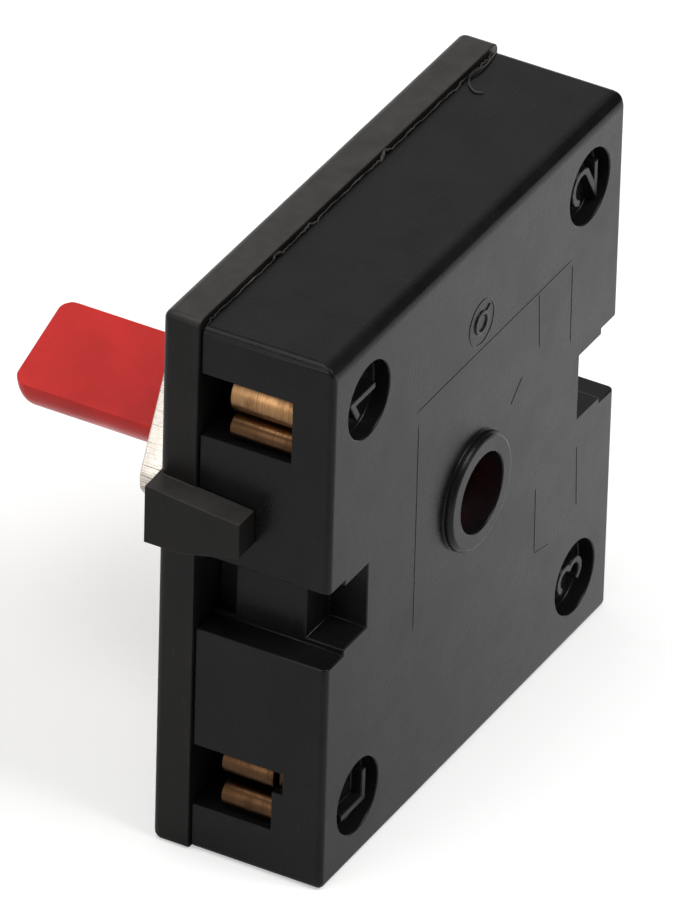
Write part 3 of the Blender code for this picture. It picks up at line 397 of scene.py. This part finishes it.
# Weld flash: the joint between housing and cover was closed by ultrasonics, which
# squeezed out a ragged bead of the same plastic, paler where it was stretched, and
# left a curl of it lying on the top.
FLASH_RADIUS = 0.085 * MM
CURL_RADIUS = 0.06 * MM
stressed_pbt = moulded_plastic("black_pbt_stressed_flash", "#23211f", "#4b4845", "#6d6965",
                               0.40, 0.30, 0.004 * MM)


def strand(name, path, radius):
    """A bead along a path of x, depth and height: a circle carried along it, with one
    radius or one at each point, shrinking as the root of the distance near the ends."""
    points = at(*np.asarray(path, dtype=float).T)
    count = len(points)
    along = np.linspace(0.0, 1.0, count)
    size = radius * np.sqrt(np.clip(np.minimum(along, 1 - along) / 0.1, 0.02, 1.0))
    heading = headings(points, False)
    beside = np.cross(heading, (0.0, 0.0, 1.0))
    beside /= np.linalg.norm(beside, axis=1, keepdims=True)
    upright = np.cross(beside, heading)
    turn = np.linspace(0.0, math.tau, 8, endpoint=False)
    body = points[:, None, :] + size[:, None, None] * (
        np.cos(turn)[None, :, None] * beside[:, None, :]
        + np.sin(turn)[None, :, None] * upright[:, None, :])
    return skin(name, body, stressed_pbt)


def evened(path, count):
    """The same path with its points spread evenly by length."""
    length = np.concatenate([[0.0], np.cumsum(np.linalg.norm(np.diff(path, axis=0), axis=1))])
    even = np.linspace(0.0, length[-1], count)
    return np.stack([np.interp(even, length, column) for column in path.T], axis=-1)


def smoothed(knots, count, width):
    """Points along a bent path through knots in millimetres, its corners eased by a
    running mean over an odd number of points."""
    padded = np.pad(evened(np.asarray(knots) * MM, count), ((width // 2, width // 2), (0, 0)),
                    mode="edge")
    return np.stack([np.convolve(column, np.ones(width) / width, mode="valid")
                     for column in padded.T], axis=-1)


# The bead's places are in millimetres. It swells here and there, and a sum of three
# waves makes it ragged, most of all where it swells.
BEAD_HALF_LENGTH = 15.7
BEAD_DEPTH = 7.93
BEAD_HEIGHT = 16.79
x = np.linspace(-BEAD_HALF_LENGTH, BEAD_HALF_LENGTH, 420)
swell = np.abs(np.sin(0.83 * x + 1.9) * np.sin(0.31 * x + 0.4)) ** 3
ragged = (0.25 + 1.6 * swell) * (0.05 * np.sin(2.1 * x) + 0.035 * np.sin(5.3 * x + 1.0)
                                 + 0.02 * np.sin(13.7 * x + 2.0))
bead = np.stack([x, BEAD_DEPTH + ragged, BEAD_HEIGHT + ragged], axis=-1) * MM
thickness = FLASH_RADIUS * (0.45 + 0.7 * swell + 0.2 * np.sin(3.3 * x) * np.sin(1.1 * x + 0.5))
curl = ((15.9, 7.9, 16.78), (14.17, 7.62, 16.80), (13.41, 7.70, 16.86), (12.83, 7.86, 16.84),
        (12.25, 7.66, 16.78), (11.78, 7.31, 16.76), (11.51, 6.79, 16.76), (11.87, 6.38, 16.75))
flash = gather("weld_flash", [strand("bead", bead, thickness),
                              strand("curl", smoothed(curl, 90, 9), CURL_RADIUS)])
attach(flash, "casing")

# Terminals: each is one stamping of half-hard brass strip with a folded pair of
# jaws that springs against a bare wire end. Rolling left fine lines along the
# sheet, and handling has dulled and warmed it. A brown painted shade darkens what
# faces down and all that is lower than the gap of the upper jaws.
SHEET = 0.40 * MM
SHEET_CORNER = 0.07 * MM
JAW_ROOT = 9.0 * MM
JAW_TAIL = 11.0 * MM
JAW_NOSE = 15.5 * MM
JAW_LOW = 10.2 * MM
JAW_HIGH = 13.55 * MM
JAW_DROP = 0.5 * MM
ROOT_BEND = 0.32 * MM
JAW_FAR = 6.4 * MM
STRIP_NEAR = 2.55 * MM
STRIP_FAR = 3.05 * MM
STRIP_HALF_WIDTH = 0.6 * MM
STRIP_BEND = 6.1 * MM
STRIP_SHELF = 10.625 * MM
STRIP_END = 15.3 * MM
STRIP_TURN = 0.7 * MM
PAD_ORBIT = 6.2 * MM
PAD_RIM = 1.2 * MM
PAD_HOLE = 0.5 * MM
COMMON_RIM = 4.4 * MM
COMMON_HOLE = 3.0 * MM
ROOT_REACH = 0.5 * MM
ROOT_HEIGHT = 1.1 * MM
SHELL_STEP = 0.004 * MM
PAINTED_SHADE_SPAN = (28.3 * MM, 27.8 * MM)
TERMINALS = {
    "terminal_1": (-1, 1, 0.1 * MM, 2.58 * MM),
    "terminal_2": (1, 1, 0.1 * MM, 2.58 * MM),
    "terminal_3": (1, -1, 0.6 * MM, 3.24 * MM),
    "terminal_L": (-1, -1, 0.6 * MM, 3.24 * MM),
}


def worked_metal(name, bright, dull, stain, roughness, line, line_height, cloud_size,
                 line_range=(0.42, 0.72)):
    """A worked metal. Colour: bright to dull by lines, which are noise drawn out by the
    three sizes in line, between the two values in line_range, then stained by a slow
    noise. Both set the roughness, and the lines and a slow waviness set the bump."""
    material = bpy.data.materials.new(name)
    material.use_nodes = True
    tree = material.node_tree
    shader = tree.nodes["Principled BSDF"]
    point = add_node(tree, "ShaderNodeTexCoord").outputs["Object"]
    drawn = add_node(tree, "ShaderNodeMapping", {
        "Vector": point, "Scale": tuple(1 / size for size in line)}).outputs[0]
    lines = add_node(tree, "ShaderNodeTexNoise", {
        "Vector": drawn, "Scale": 1.0, "Detail": 3.0, "Roughness": 0.65}).outputs["Fac"]
    slow = add_node(tree, "ShaderNodeTexNoise", {
        "Vector": point, "Scale": 1 / cloud_size, "Detail": 4.0}).outputs["Fac"]
    lined = add_node(tree, "ShaderNodeMapRange", {
        "Value": lines, "From Min": line_range[0], "From Max": line_range[1]}).outputs[0]
    stained = add_node(tree, "ShaderNodeMapRange", {
        "Value": slow, "From Min": 0.48, "From Max": 0.72, "To Max": 0.7}).outputs[0]
    colour = add_node(tree, "ShaderNodeMix", {
        0: lined, 6: linear(bright), 7: linear(dull)}, data_type="RGBA").outputs[2]
    tinted = add_node(tree, "ShaderNodeMix", {
        0: stained, 6: colour, 7: linear(stain)}, data_type="RGBA").outputs[2]
    tree.links.new(tinted, shader.inputs["Base Color"])
    mixed = add_node(tree, "ShaderNodeMath", {0: lined, 1: stained}, operation="ADD").outputs[0]
    rough = add_node(tree, "ShaderNodeMapRange", {
        "Value": mixed, "From Max": 1.7, "To Min": roughness, "To Max": roughness + 0.22}).outputs[0]
    tree.links.new(rough, shader.inputs["Roughness"])
    shader.inputs["Metallic"].default_value = 1.0
    waves = add_node(tree, "ShaderNodeBump", {
        "Height": slow, "Distance": 0.05 * MM, "Strength": 0.6}).outputs[0]
    scored = add_node(tree, "ShaderNodeBump", {
        "Height": lines, "Distance": line_height, "Strength": 0.8, "Normal": waves}).outputs[0]
    tree.links.new(scored, shader.inputs["Normal"])
    return material


def arc(centre, radius, start, end, count):
    """Points of a circle's arc between two angles in degrees."""
    angles = np.radians(np.linspace(start, end, count))
    return np.array(centre) + radius * np.stack([np.cos(angles), np.sin(angles)], axis=-1)


def rounded_bar(half_width, half_height, corner, count=4):
    """The outline of a rectangle with round corners, anticlockwise: four quarter arcs."""
    x = half_width - corner
    y = half_height - corner
    return np.vstack([arc((x, y), corner, 0, 90, count), arc((-x, y), corner, 90, 180, count),
                      arc((-x, -y), corner, 180, 270, count), arc((x, -y), corner, 270, 360, count)])


def carried(name, path, outline, middle, material):
    """A bar along a flat path: the outline's first value goes across the path in its own
    plane, and its second along the depth, from the middle depth."""
    heading = headings(path, False)
    across = np.stack([-heading[:, 1], heading[:, 0]], axis=-1)
    flat = path[:, None, :] + across[:, None, :] * outline[None, :, 0, None]
    depth = np.broadcast_to(middle + outline[None, :, 1], flat.shape[:2])
    return skin(name, at(flat[..., 0], depth, flat[..., 1]), material)


def turned(name, profile, material, x=0.0, height=0.0, steps=48, ring=False):
    """A shape turned about a line along the depth: radius and depth pairs carried round."""
    profile = np.asarray(profile, dtype=float)
    angle = np.linspace(0.0, math.tau, steps, endpoint=False)
    radius = profile[:, 0, None]
    return skin(name, at(x + radius * np.cos(angle), profile[:, 1, None],
                         height + radius * np.sin(angle)), material, ring=ring)


def facing_up(tree):
    """How far a surface faces up: the upward part of its normal."""
    normal = add_node(tree, "ShaderNodeNewGeometry").outputs["Normal"]
    return add_node(tree, "ShaderNodeSeparateXYZ", {0: normal}).outputs["Z"]


def coat(material, share, code):
    """Mixes a colour over a material's own base colour by a share."""
    tree = material.node_tree
    base = tree.nodes["Principled BSDF"].inputs["Base Color"]
    coated = add_node(tree, "ShaderNodeMix", {
        0: share, 6: base.links[0].from_socket, 7: linear(code)}, data_type="RGBA").outputs[2]
    tree.links.new(coated, base)


brass = worked_metal("brass_rolled_strip", "#c79b6c", "#a3764c", "#6b4630", 0.30,
                     (2.0 * MM, 0.09 * MM, 2.0 * MM), 0.004 * MM, 1.1 * MM)
# Painted shade: the brass is coated dark brown where it faces down and below the upper jaws' gap.
shade_underneath = add_node(brass.node_tree, "ShaderNodeMapRange", {
    "Value": facing_up(brass.node_tree), "From Min": 0.75, "From Max": -0.45, "To Max": 0.6}).outputs[0]
height = add_node(brass.node_tree, "ShaderNodeSeparateXYZ", {
    0: add_node(brass.node_tree, "ShaderNodeTexCoord").outputs["Object"]}).outputs["Z"]
shade_below_gap = add_node(brass.node_tree, "ShaderNodeMapRange", {
    "Value": height, "From Min": PAINTED_SHADE_SPAN[0], "From Max": PAINTED_SHADE_SPAN[1], "To Max": 0.9}).outputs[0]
coat(brass, add_node(brass.node_tree, "ShaderNodeMath", {
    0: shade_underneath, 1: shade_below_gap}, operation="MAXIMUM").outputs[0], "#3f2a1d")
for name, (side, end, gap, jaw_near) in TERMINALS.items():
    middle = (JAW_LOW + JAW_HIGH) / 2 - (JAW_DROP if end > 0 else 0.0)
    inner_low = middle - gap / 2 - SHEET / 2
    inner_high = middle + gap / 2 + SHEET / 2
    low_nose = (inner_low - JAW_LOW) / 2
    high_nose = (JAW_HIGH - inner_high) / 2
    fold = np.vstack([
        [(JAW_TAIL, inner_high)],
        arc((JAW_NOSE - high_nose, inner_high + high_nose), high_nose, -90, 90, 30),
        arc((JAW_ROOT + ROOT_BEND, JAW_HIGH - ROOT_BEND), ROOT_BEND, 90, 180, 10),
        arc((JAW_ROOT + ROOT_BEND, JAW_LOW + ROOT_BEND), ROOT_BEND, 180, 270, 10),
        arc((JAW_NOSE - low_nose, JAW_LOW + low_nose), low_nose, -90, 90, 30),
        [(JAW_TAIL, inner_low)]])
    mirror = np.array([side, end])
    jaw = carried("jaw", evened(fold, 260) * mirror,
                  rounded_bar(SHEET / 2, (JAW_FAR - jaw_near) / 2, SHEET_CORNER),
                  (JAW_FAR + jaw_near) / 2, brass)
    root = carried("root", np.linspace((JAW_ROOT, STRIP_SHELF - ROOT_REACH),
                                       (JAW_ROOT, STRIP_SHELF + ROOT_REACH), 6) * mirror,
                   rounded_bar(SHEET / 2 - SHELL_STEP, ROOT_HEIGHT / 2, SHEET_CORNER),
                   STRIP_NEAR + ROOT_HEIGHT / 2, brass)
    common = name == "terminal_L"
    start = (COMMON_RIM - STRIP_HALF_WIDTH) / math.sqrt(2) if common else PAD_ORBIT / math.sqrt(2)
    strip_line = np.vstack([
        [(start, start), (STRIP_BEND, STRIP_BEND)],
        arc((STRIP_BEND + STRIP_TURN, STRIP_SHELF - STRIP_TURN), STRIP_TURN, 180, 90, 12),
        [(STRIP_END, STRIP_SHELF)]])
    strip = carried("strip", evened(strip_line, 90) * mirror,
                    rounded_bar(STRIP_HALF_WIDTH, (STRIP_FAR - STRIP_NEAR) / 2 - SHELL_STEP,
                                SHEET_CORNER),
                    (STRIP_NEAR + STRIP_FAR) / 2, brass)
    hole, rim, centre = (COMMON_HOLE, COMMON_RIM, 0.0) if common else (PAD_HOLE, PAD_RIM, start)
    washer = np.array([hole + rim, STRIP_NEAR + STRIP_FAR]) / 2 + rounded_bar(
        (rim - hole) / 2, (STRIP_FAR - STRIP_NEAR) / 2, SHEET_CORNER, 3)
    pad = turned("pad", washer, brass, side * centre, end * centre, ring=True)
    piece = gather(name + "_brass", [jaw, root, strip, pad])
    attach(piece, "casing")
    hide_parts(name)

# Fixed contacts: turned silver rivets, headed over in the terminals' pads. Their
# domes are burnished bright, and the silver has started to tarnish.
RIVET_RADIUS = 0.95 * MM
RIVET_SHANK = 0.45 * MM
RIVET_SEAT = 3.1 * MM
RIVET_TOP = 3.5 * MM
silver = worked_metal("silver_contact_rivet", "#f2efe8", "#d9d2c4", "#8f8270", 0.16,
                      (0.3 * MM, 0.3 * MM, 0.3 * MM), 0.004 * MM, 0.5 * MM)


def rivet(name, radius, shank, top, seat, foot, x, height):
    """A rivet along the depth: a head between top and seat whose face falls away as the
    fourth power of the radius, and a shank from the seat to the foot."""
    reach = np.linspace(0.02, 1.0, 12)
    rise = top + (seat - top) * 0.45 * reach ** 4
    crown = np.stack([radius * reach, rise], axis=-1)
    rest = [(radius, seat + (top - seat) * 0.15), (radius * 0.96, seat), (shank, seat),
            (shank, foot), (shank * 0.1, foot)]
    return turned(name, np.vstack([crown, rest]), silver, x, height, steps=32)


for name, side, end in (("contact_1", -1, 1), ("contact_2", 1, 1), ("contact_3", 1, -1)):
    diagonal = PAD_ORBIT / math.sqrt(2)
    piece = rivet(name + "_rivet", RIVET_RADIUS, RIVET_SHANK, RIVET_TOP, RIVET_SEAT, STRIP_NEAR,
                  side * diagonal, end * diagonal)
    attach(piece, "casing")
    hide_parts(name)

# Wiper: a blanked bar of sprung copper alloy with an eye round the spindle. It
# carries two silver rivets, one over the common ring and one over the contacts.
WIPER_EDGE = 0.05 * MM
WIPER_ANGLE = math.radians(225.0)
WIPER_NEAR = 3.85 * MM
WIPER_FAR = 4.2 * MM
copper = worked_metal("copper_alloy_blanked", "#d98c62", "#b46c48", "#7a4a34", 0.26,
                      (0.10 * MM, 1.5 * MM, 1.5 * MM), 0.006 * MM, 1.2 * MM)
wiper = joined_copy("wiper", "wiper_bar", copper, WIPER_EDGE)
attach(wiper, "turning")
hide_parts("wiper")
for name, radius, orbit, top in (("wiper_contact_outer", RIVET_RADIUS, PAD_ORBIT, 3.6 * MM),
                                 ("wiper_contact_inner", 0.6 * MM, -3.7 * MM, 3.15 * MM)):
    piece = rivet(name + "_rivet", radius, RIVET_SHANK, top, WIPER_NEAR - 0.05 * MM, WIPER_FAR,
                  orbit * math.cos(WIPER_ANGLE), orbit * math.sin(WIPER_ANGLE))
    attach(piece, "turning")
    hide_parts(name)

# Springs: coils of hard-drawn steel wire with closed ends. Two press the wiper
# down from the rotor, and two push the detent balls out of the rotor's rim.
WIRE_RADIUS = 0.13 * MM
WIPER_SPRING_ORBIT = 4.6 * MM
WIPER_SPRING_SPAN = (4.25 * MM, 6.55 * MM)
WIPER_SPRING_RADIUS = 0.8 * MM
WIPER_SPRING_TURNS = 5
DETENT_DEPTH = 6.1 * MM
DETENT_SPRING_SPAN = (5.45 * MM, 8.25 * MM)
DETENT_SPRING_RADIUS = 0.75 * MM
DETENT_SPRING_TURNS = 6
steel = worked_metal("steel_hard_drawn", "#b9b8b6", "#96948f", "#6c6258", 0.22,
                     (0.06 * MM, 0.9 * MM, 0.06 * MM), 0.003 * MM, 0.8 * MM)


def coil(start, end, radius, turns, lead_axis):
    """A spring from start to end. Its angle runs evenly. Its rise is a wire's width over
    the first and last turn, and even between. lead_axis is 0 for X and 1 for depth."""
    count = turns * 28
    share = np.linspace(0.0, 1.0, count)
    angle = math.tau * turns * share
    length = end - start - 2 * WIRE_RADIUS
    close = 1.0 / turns
    shut = 2 * WIRE_RADIUS / length
    rise = np.interp(share, [0.0, close, 1 - close, 1.0], [0.0, shut, 1 - shut, 1.0])
    lead = start + (WIRE_RADIUS + length * rise)
    circle = (radius - WIRE_RADIUS) * np.stack([np.cos(angle), np.sin(angle)], axis=-1)
    spine = np.stack([lead, circle[:, 0], circle[:, 1]], axis=-1)
    heading = headings(spine, False)
    outward = np.stack([np.zeros(count), np.cos(angle), np.sin(angle)], axis=-1)
    beside = np.cross(heading, outward)
    beside /= np.linalg.norm(beside, axis=1, keepdims=True)
    upright = np.cross(beside, heading)
    turn = np.linspace(0.0, math.tau, 10, endpoint=False)
    body = (spine[:, None, :] + WIRE_RADIUS * (np.cos(turn)[None, :, None] * upright[:, None, :]
                                               + np.sin(turn)[None, :, None] * beside[:, None, :]))
    if lead_axis:
        return body[..., [1, 0, 2]]
    return body


for number, orbit in ((1, WIPER_SPRING_ORBIT), (2, -WIPER_SPRING_ORBIT)):
    body = coil(*WIPER_SPRING_SPAN, WIPER_SPRING_RADIUS, WIPER_SPRING_TURNS, 1)
    piece = skin(f"wiper_spring_{number}_coil",
                 at(body[..., 0] + orbit * math.cos(WIPER_ANGLE), body[..., 1],
                    body[..., 2] + orbit * math.sin(WIPER_ANGLE)), steel)
    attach(piece, "turning")
    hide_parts(f"wiper_spring_{number}")
for number, side in ((1, -1), (2, 1)):
    body = coil(*DETENT_SPRING_SPAN, DETENT_SPRING_RADIUS, DETENT_SPRING_TURNS, 0)
    piece = skin(f"detent_spring_{number}_coil",
                 at(side * body[..., 0], DETENT_DEPTH + body[..., 1], body[..., 2]), steel)
    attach(piece, "turning")
    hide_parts(f"detent_spring_{number}")

# Rotor: a disc moulded in natural nylon, milky and slightly waxy. It carries the
# wiper under its fences, the balls in its rim, and the lug that stops the turn.
ROTOR_EDGE = 0.08 * MM
nylon = moulded_plastic("nylon_natural_moulded", "#d8d2c2", "#cdc5b2", "#e6e2d8", 0.42, 0.45,
                        0.004 * MM)
nylon.node_tree.nodes["Principled BSDF"].inputs["Subsurface Weight"].default_value = 0.25
nylon.node_tree.nodes["Principled BSDF"].inputs["Subsurface Scale"].default_value = 0.8 * MM
rotor = joined_copy("rotor", "rotor_disc", nylon, ROTOR_EDGE)
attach(rotor, "turning")
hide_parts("rotor")

# Detent balls: two ground and polished bearing balls of hard steel.
BALL_RADIUS = 0.8 * MM
BALL_ORBIT = 9.1 * MM
ball_steel = worked_metal("steel_ball_polished", "#c9c9c8", "#bdbcba", "#a09c96", 0.08,
                          (0.5 * MM, 0.5 * MM, 0.5 * MM), 0.001 * MM, 1.0 * MM)
for number, side in ((1, -1), (2, 1)):
    tilt = np.radians(np.linspace(-88.0, 88.0, 24))
    profile = np.stack([BALL_RADIUS * np.cos(tilt), DETENT_DEPTH + BALL_RADIUS * np.sin(tilt)],
                       axis=-1)
    piece = turned(f"detent_ball_{number}_polished", profile, ball_steel, side * BALL_ORBIT, 0.0, 36)
    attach(piece, "turning")
    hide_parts(f"detent_ball_{number}")

# Spindle: one moulding in signal red PBT. From the bearing it has a round nose, a
# hexagon that drives the rotor, a collar, and a round shaft with one long flat.
NOSE_RADIUS = 2.25 * MM
NOSE_START = 1.4 * MM
DRIVE_HALF_FLATS = 2.6 * MM
DRIVE_START = 4.9 * MM
COLLAR_RADIUS = 4.3 * MM
COLLAR_START = 7.4 * MM
COLLAR_END = 8.2 * MM
SHAFT_RADIUS = 3.1 * MM
FLAT_FROM_AXIS = 0.62 * MM
FLAT_START = 17.6 * MM
FLAT_ANGLE = math.radians(111.0)
SHAFT_TIP = 27.0 * MM
TIP_ROUNDING = 0.9 * MM
FLAT_TIP_EASING = 0.15 * MM
FLAT_SOFT = 0.06 * MM
STEP_EASING = 0.08 * MM


def hexagon_radius(angle, half_flats, facet):
    """The distance to a hexagon's side: half its flats over the cosine of the angle from
    the middle of the nearest facet."""
    near = (angle - facet + math.pi / 6) % (math.pi / 3) - math.pi / 6
    return half_flats / np.cos(near)


def shaft_radius(angle, inset, flat_inset):
    """The shaft's round radius less an inset, or the distance to its flat less another
    where that is less. A soft minimum rounds the corner between them: the middle of the
    two less half the root of their difference squared plus FLAT_SOFT squared."""
    away = np.cos(angle - FLAT_ANGLE)
    flat = (FLAT_FROM_AXIS - flat_inset) / np.maximum(away, 0.01)
    round_part = SHAFT_RADIUS - inset
    return (round_part + flat - np.sqrt((round_part - flat) ** 2 + FLAT_SOFT ** 2)) / 2


red_pbt = moulded_plastic("red_pbt_polished_mould", "#c92c29", "#ba2724", "#d4463f", 0.36, 0.20,
                          0.003 * MM)
red_pbt.node_tree.nodes["Principled BSDF"].inputs["Subsurface Weight"].default_value = 0.35
red_pbt.node_tree.nodes["Principled BSDF"].inputs["Subsurface Scale"].default_value = 1.2 * MM
# The angles lie closer together at the two corners of the flat.
half_flat = math.acos(FLAT_FROM_AXIS / SHAFT_RADIUS)
corner = np.linspace(-0.12, 0.12, 15)
angle = FLAT_ANGLE + np.concatenate([
    corner - half_flat, np.linspace(-half_flat, half_flat, 27)[3:-3],
    corner + half_flat, np.linspace(half_flat, math.tau - half_flat, 77)[3:-3]])
same = np.ones_like(angle)
hexagonal = hexagon_radius(angle, DRIVE_HALF_FLATS, 0.0)
d_shaped = shaft_radius(angle, 0.0, 0.0)
stations = [(NOSE_START, same * NOSE_RADIUS * 0.3), (NOSE_START, same * (NOSE_RADIUS - 0.15 * MM)),
            (NOSE_START + 0.15 * MM, same * NOSE_RADIUS), (DRIVE_START, same * NOSE_RADIUS),
            (DRIVE_START, hexagonal), (COLLAR_START, hexagonal), (COLLAR_START, same * COLLAR_RADIUS),
            (COLLAR_END, same * COLLAR_RADIUS), (COLLAR_END, same * SHAFT_RADIUS),
            (FLAT_START - STEP_EASING, same * SHAFT_RADIUS),
            (FLAT_START, np.maximum(d_shaped, SHAFT_RADIUS - STEP_EASING)), (FLAT_START, d_shaped)]
# The rim of the tip is a quarter circle, and the flat ends in a smaller one.
for share in np.sin(np.linspace(0.0, math.pi / 2, 21)):
    eased = min(1.0, max(0.0, 1 - TIP_ROUNDING * (1 - share) / FLAT_TIP_EASING))
    inset = TIP_ROUNDING * (1 - math.sqrt(1 - share ** 2))
    flat_inset = FLAT_TIP_EASING * (1 - math.sqrt(1 - eased ** 2))
    stations.append((SHAFT_TIP - TIP_ROUNDING * (1 - share), shaft_radius(angle, inset, flat_inset)))
stations.append((SHAFT_TIP, shaft_radius(angle, TIP_ROUNDING, FLAT_TIP_EASING) * 0.9))
depth = np.array([station[0] for station in stations])[:, None]
radius = np.array([station[1] for station in stations])
spindle = skin("spindle_moulded", at(radius * np.cos(angle), depth, radius * np.sin(angle)), red_pbt)
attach(spindle, "turning")
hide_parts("spindle")

# Bushing: turned brass with a rolled M10 thread, nickel plated. Its hexagonal
# flange is trapped between the cover and the housing, so it can't turn.
THREAD_RADIUS = 5.0 * MM
THREAD_PITCH = 1.0 * MM
THREAD_DEPTH = 0.42 * MM
BUSHING_BORE = 3.2 * MM
BUSHING_END = 17.3 * MM
FLANGE_HALF_FLATS = 5.5 * MM
FLANGE_NEAR = 8.3 * MM
FLANGE_FAR = 9.2 * MM
THREAD_START = 10.4 * MM
nickel = worked_metal("nickel_plate_bright", "#efe6dc", "#c9bfb3", "#a2968a", 0.17,
                      (0.16 * MM, 3.0 * MM, 0.16 * MM), 0.006 * MM, 1.6 * MM)


def thread_radius(angle, depth, crest):
    """The crest's radius less the thread's depth by a triangle wave of the depth over
    the pitch less the turn, cut off flat at root and crest, fading in over one pitch."""
    phase = (depth / THREAD_PITCH - angle / math.tau) % 1.0
    wave = np.clip(np.abs(phase - 0.5) * 2.6 - 0.15, 0.0, 1.0)
    fade = np.clip((depth - THREAD_START) / THREAD_PITCH, 0.0, 1.0)
    return crest - THREAD_DEPTH * wave * fade


angle = np.linspace(0.0, math.tau, 96, endpoint=False)
same = np.ones_like(angle)
flange = hexagon_radius(angle, FLANGE_HALF_FLATS, 0.0)
rings = [(FLANGE_NEAR, same * BUSHING_BORE), (FLANGE_NEAR, flange - 0.1 * MM),
         (FLANGE_NEAR + 0.1 * MM, flange), (FLANGE_FAR - 0.1 * MM, flange),
         (FLANGE_FAR, flange - 0.1 * MM), (FLANGE_FAR, same * (THREAD_RADIUS - 0.02 * MM))]
for depth in np.arange(THREAD_START, BUSHING_END + 0.01 * MM, THREAD_PITCH / 10):
    chamfer = THREAD_RADIUS - max(0.0, depth - (BUSHING_END - 0.5 * MM))
    rings.append((depth, np.minimum(thread_radius(angle, depth, THREAD_RADIUS), chamfer)))
rings += [(BUSHING_END, same * (BUSHING_BORE + 0.2 * MM)), (BUSHING_END - 0.2 * MM, same * BUSHING_BORE)]
depth = np.array([entry[0] for entry in rings])[:, None]
radius = np.array([entry[1] for entry in rings])
bushing = skin("bushing_threaded", at(radius * np.cos(angle), depth, radius * np.sin(angle)), nickel,
               ring=True)
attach(bushing, "casing")
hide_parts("bushing")

# Cover: a plate in the same black PBT that closes the back. Its two lugs reach over
# the housing's sides, and its edge is welded on. Grey dust has settled on its top.
COVER_EDGE = 0.06 * MM
DUST_PATCH = 1.7 * MM
cover_pbt = moulded_plastic("black_pbt_cover", "#161514", "#1d1b1a", "#45403c", 0.38, 0.18,
                            0.008 * MM)
patches = add_node(cover_pbt.node_tree, "ShaderNodeTexNoise", {
    "Vector": add_node(cover_pbt.node_tree, "ShaderNodeTexCoord").outputs["Object"],
    "Scale": 1 / DUST_PATCH, "Detail": 6.0, "Roughness": 0.65}).outputs["Fac"]
settled = add_node(cover_pbt.node_tree, "ShaderNodeMapRange", {
    "Value": facing_up(cover_pbt.node_tree), "From Min": 0.35, "From Max": 0.95}).outputs[0]
patchy = add_node(cover_pbt.node_tree, "ShaderNodeMapRange", {
    "Value": patches, "From Min": 0.3, "From Max": 0.7, "To Min": 0.45}).outputs[0]
coat(cover_pbt, add_node(cover_pbt.node_tree, "ShaderNodeMath", {
    0: settled, 1: patchy}, operation="MULTIPLY").outputs[0], "#3d3b38")
cover = joined_copy("cover", "cover_plate", cover_pbt, COVER_EDGE)
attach(cover, "casing")
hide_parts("cover")

# Nut: a hexagon of drawn steel bar, nickel plated. Its flats keep the fine lines
# of drawing along the axis, its corners are turned down and its edges are eased.
NUT_HALF_FLATS = 7.0 * MM
NUT_NEAR = 13.75 * MM
NUT_FAR = 16.25 * MM
NUT_EASING = 0.15 * MM
NUT_CORNER = 7.83 * MM
NUT_FACET = math.radians(154.7)
NUT_BORE = 5.1 * MM
drawn_nickel = worked_metal("nickel_on_drawn_hexagon", "#f3eadf", "#8a8076", "#e2d7ca", 0.20,
                            (0.09 * MM, 2.6 * MM, 0.09 * MM), 0.010 * MM, 1.4 * MM, (0.55, 0.66))
angle = np.linspace(0.0, math.tau, 180, endpoint=False)
same = np.ones_like(angle)
side = np.minimum(hexagon_radius(angle, NUT_HALF_FLATS, NUT_FACET), NUT_CORNER)
rings = [(NUT_NEAR, same * (NUT_BORE + 0.3 * MM)), (NUT_NEAR, side - NUT_EASING),
         (NUT_NEAR + NUT_EASING, side)]
for share in np.linspace(0.0, 1.0, 6):
    inset = NUT_EASING * (1 - math.sqrt(1 - share ** 2))
    rings.append((NUT_FAR - NUT_EASING * (1 - share), side - inset))
rings.append((NUT_FAR, same * (NUT_BORE + 0.3 * MM)))
for depth in np.arange(NUT_FAR - 0.3 * MM, NUT_NEAR + 0.29 * MM, -THREAD_PITCH / 8):
    rings.append((depth, thread_radius(angle, depth, NUT_BORE + THREAD_DEPTH * 0.9)))
depth = np.array([entry[0] for entry in rings])[:, None]
radius = np.array([entry[1] for entry in rings])
nut = skin("nut_hexagon", at(radius * np.cos(angle), depth, radius * np.sin(angle)), drawn_nickel,
           ring=True)
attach(nut, "casing")
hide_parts("mounting_nut")
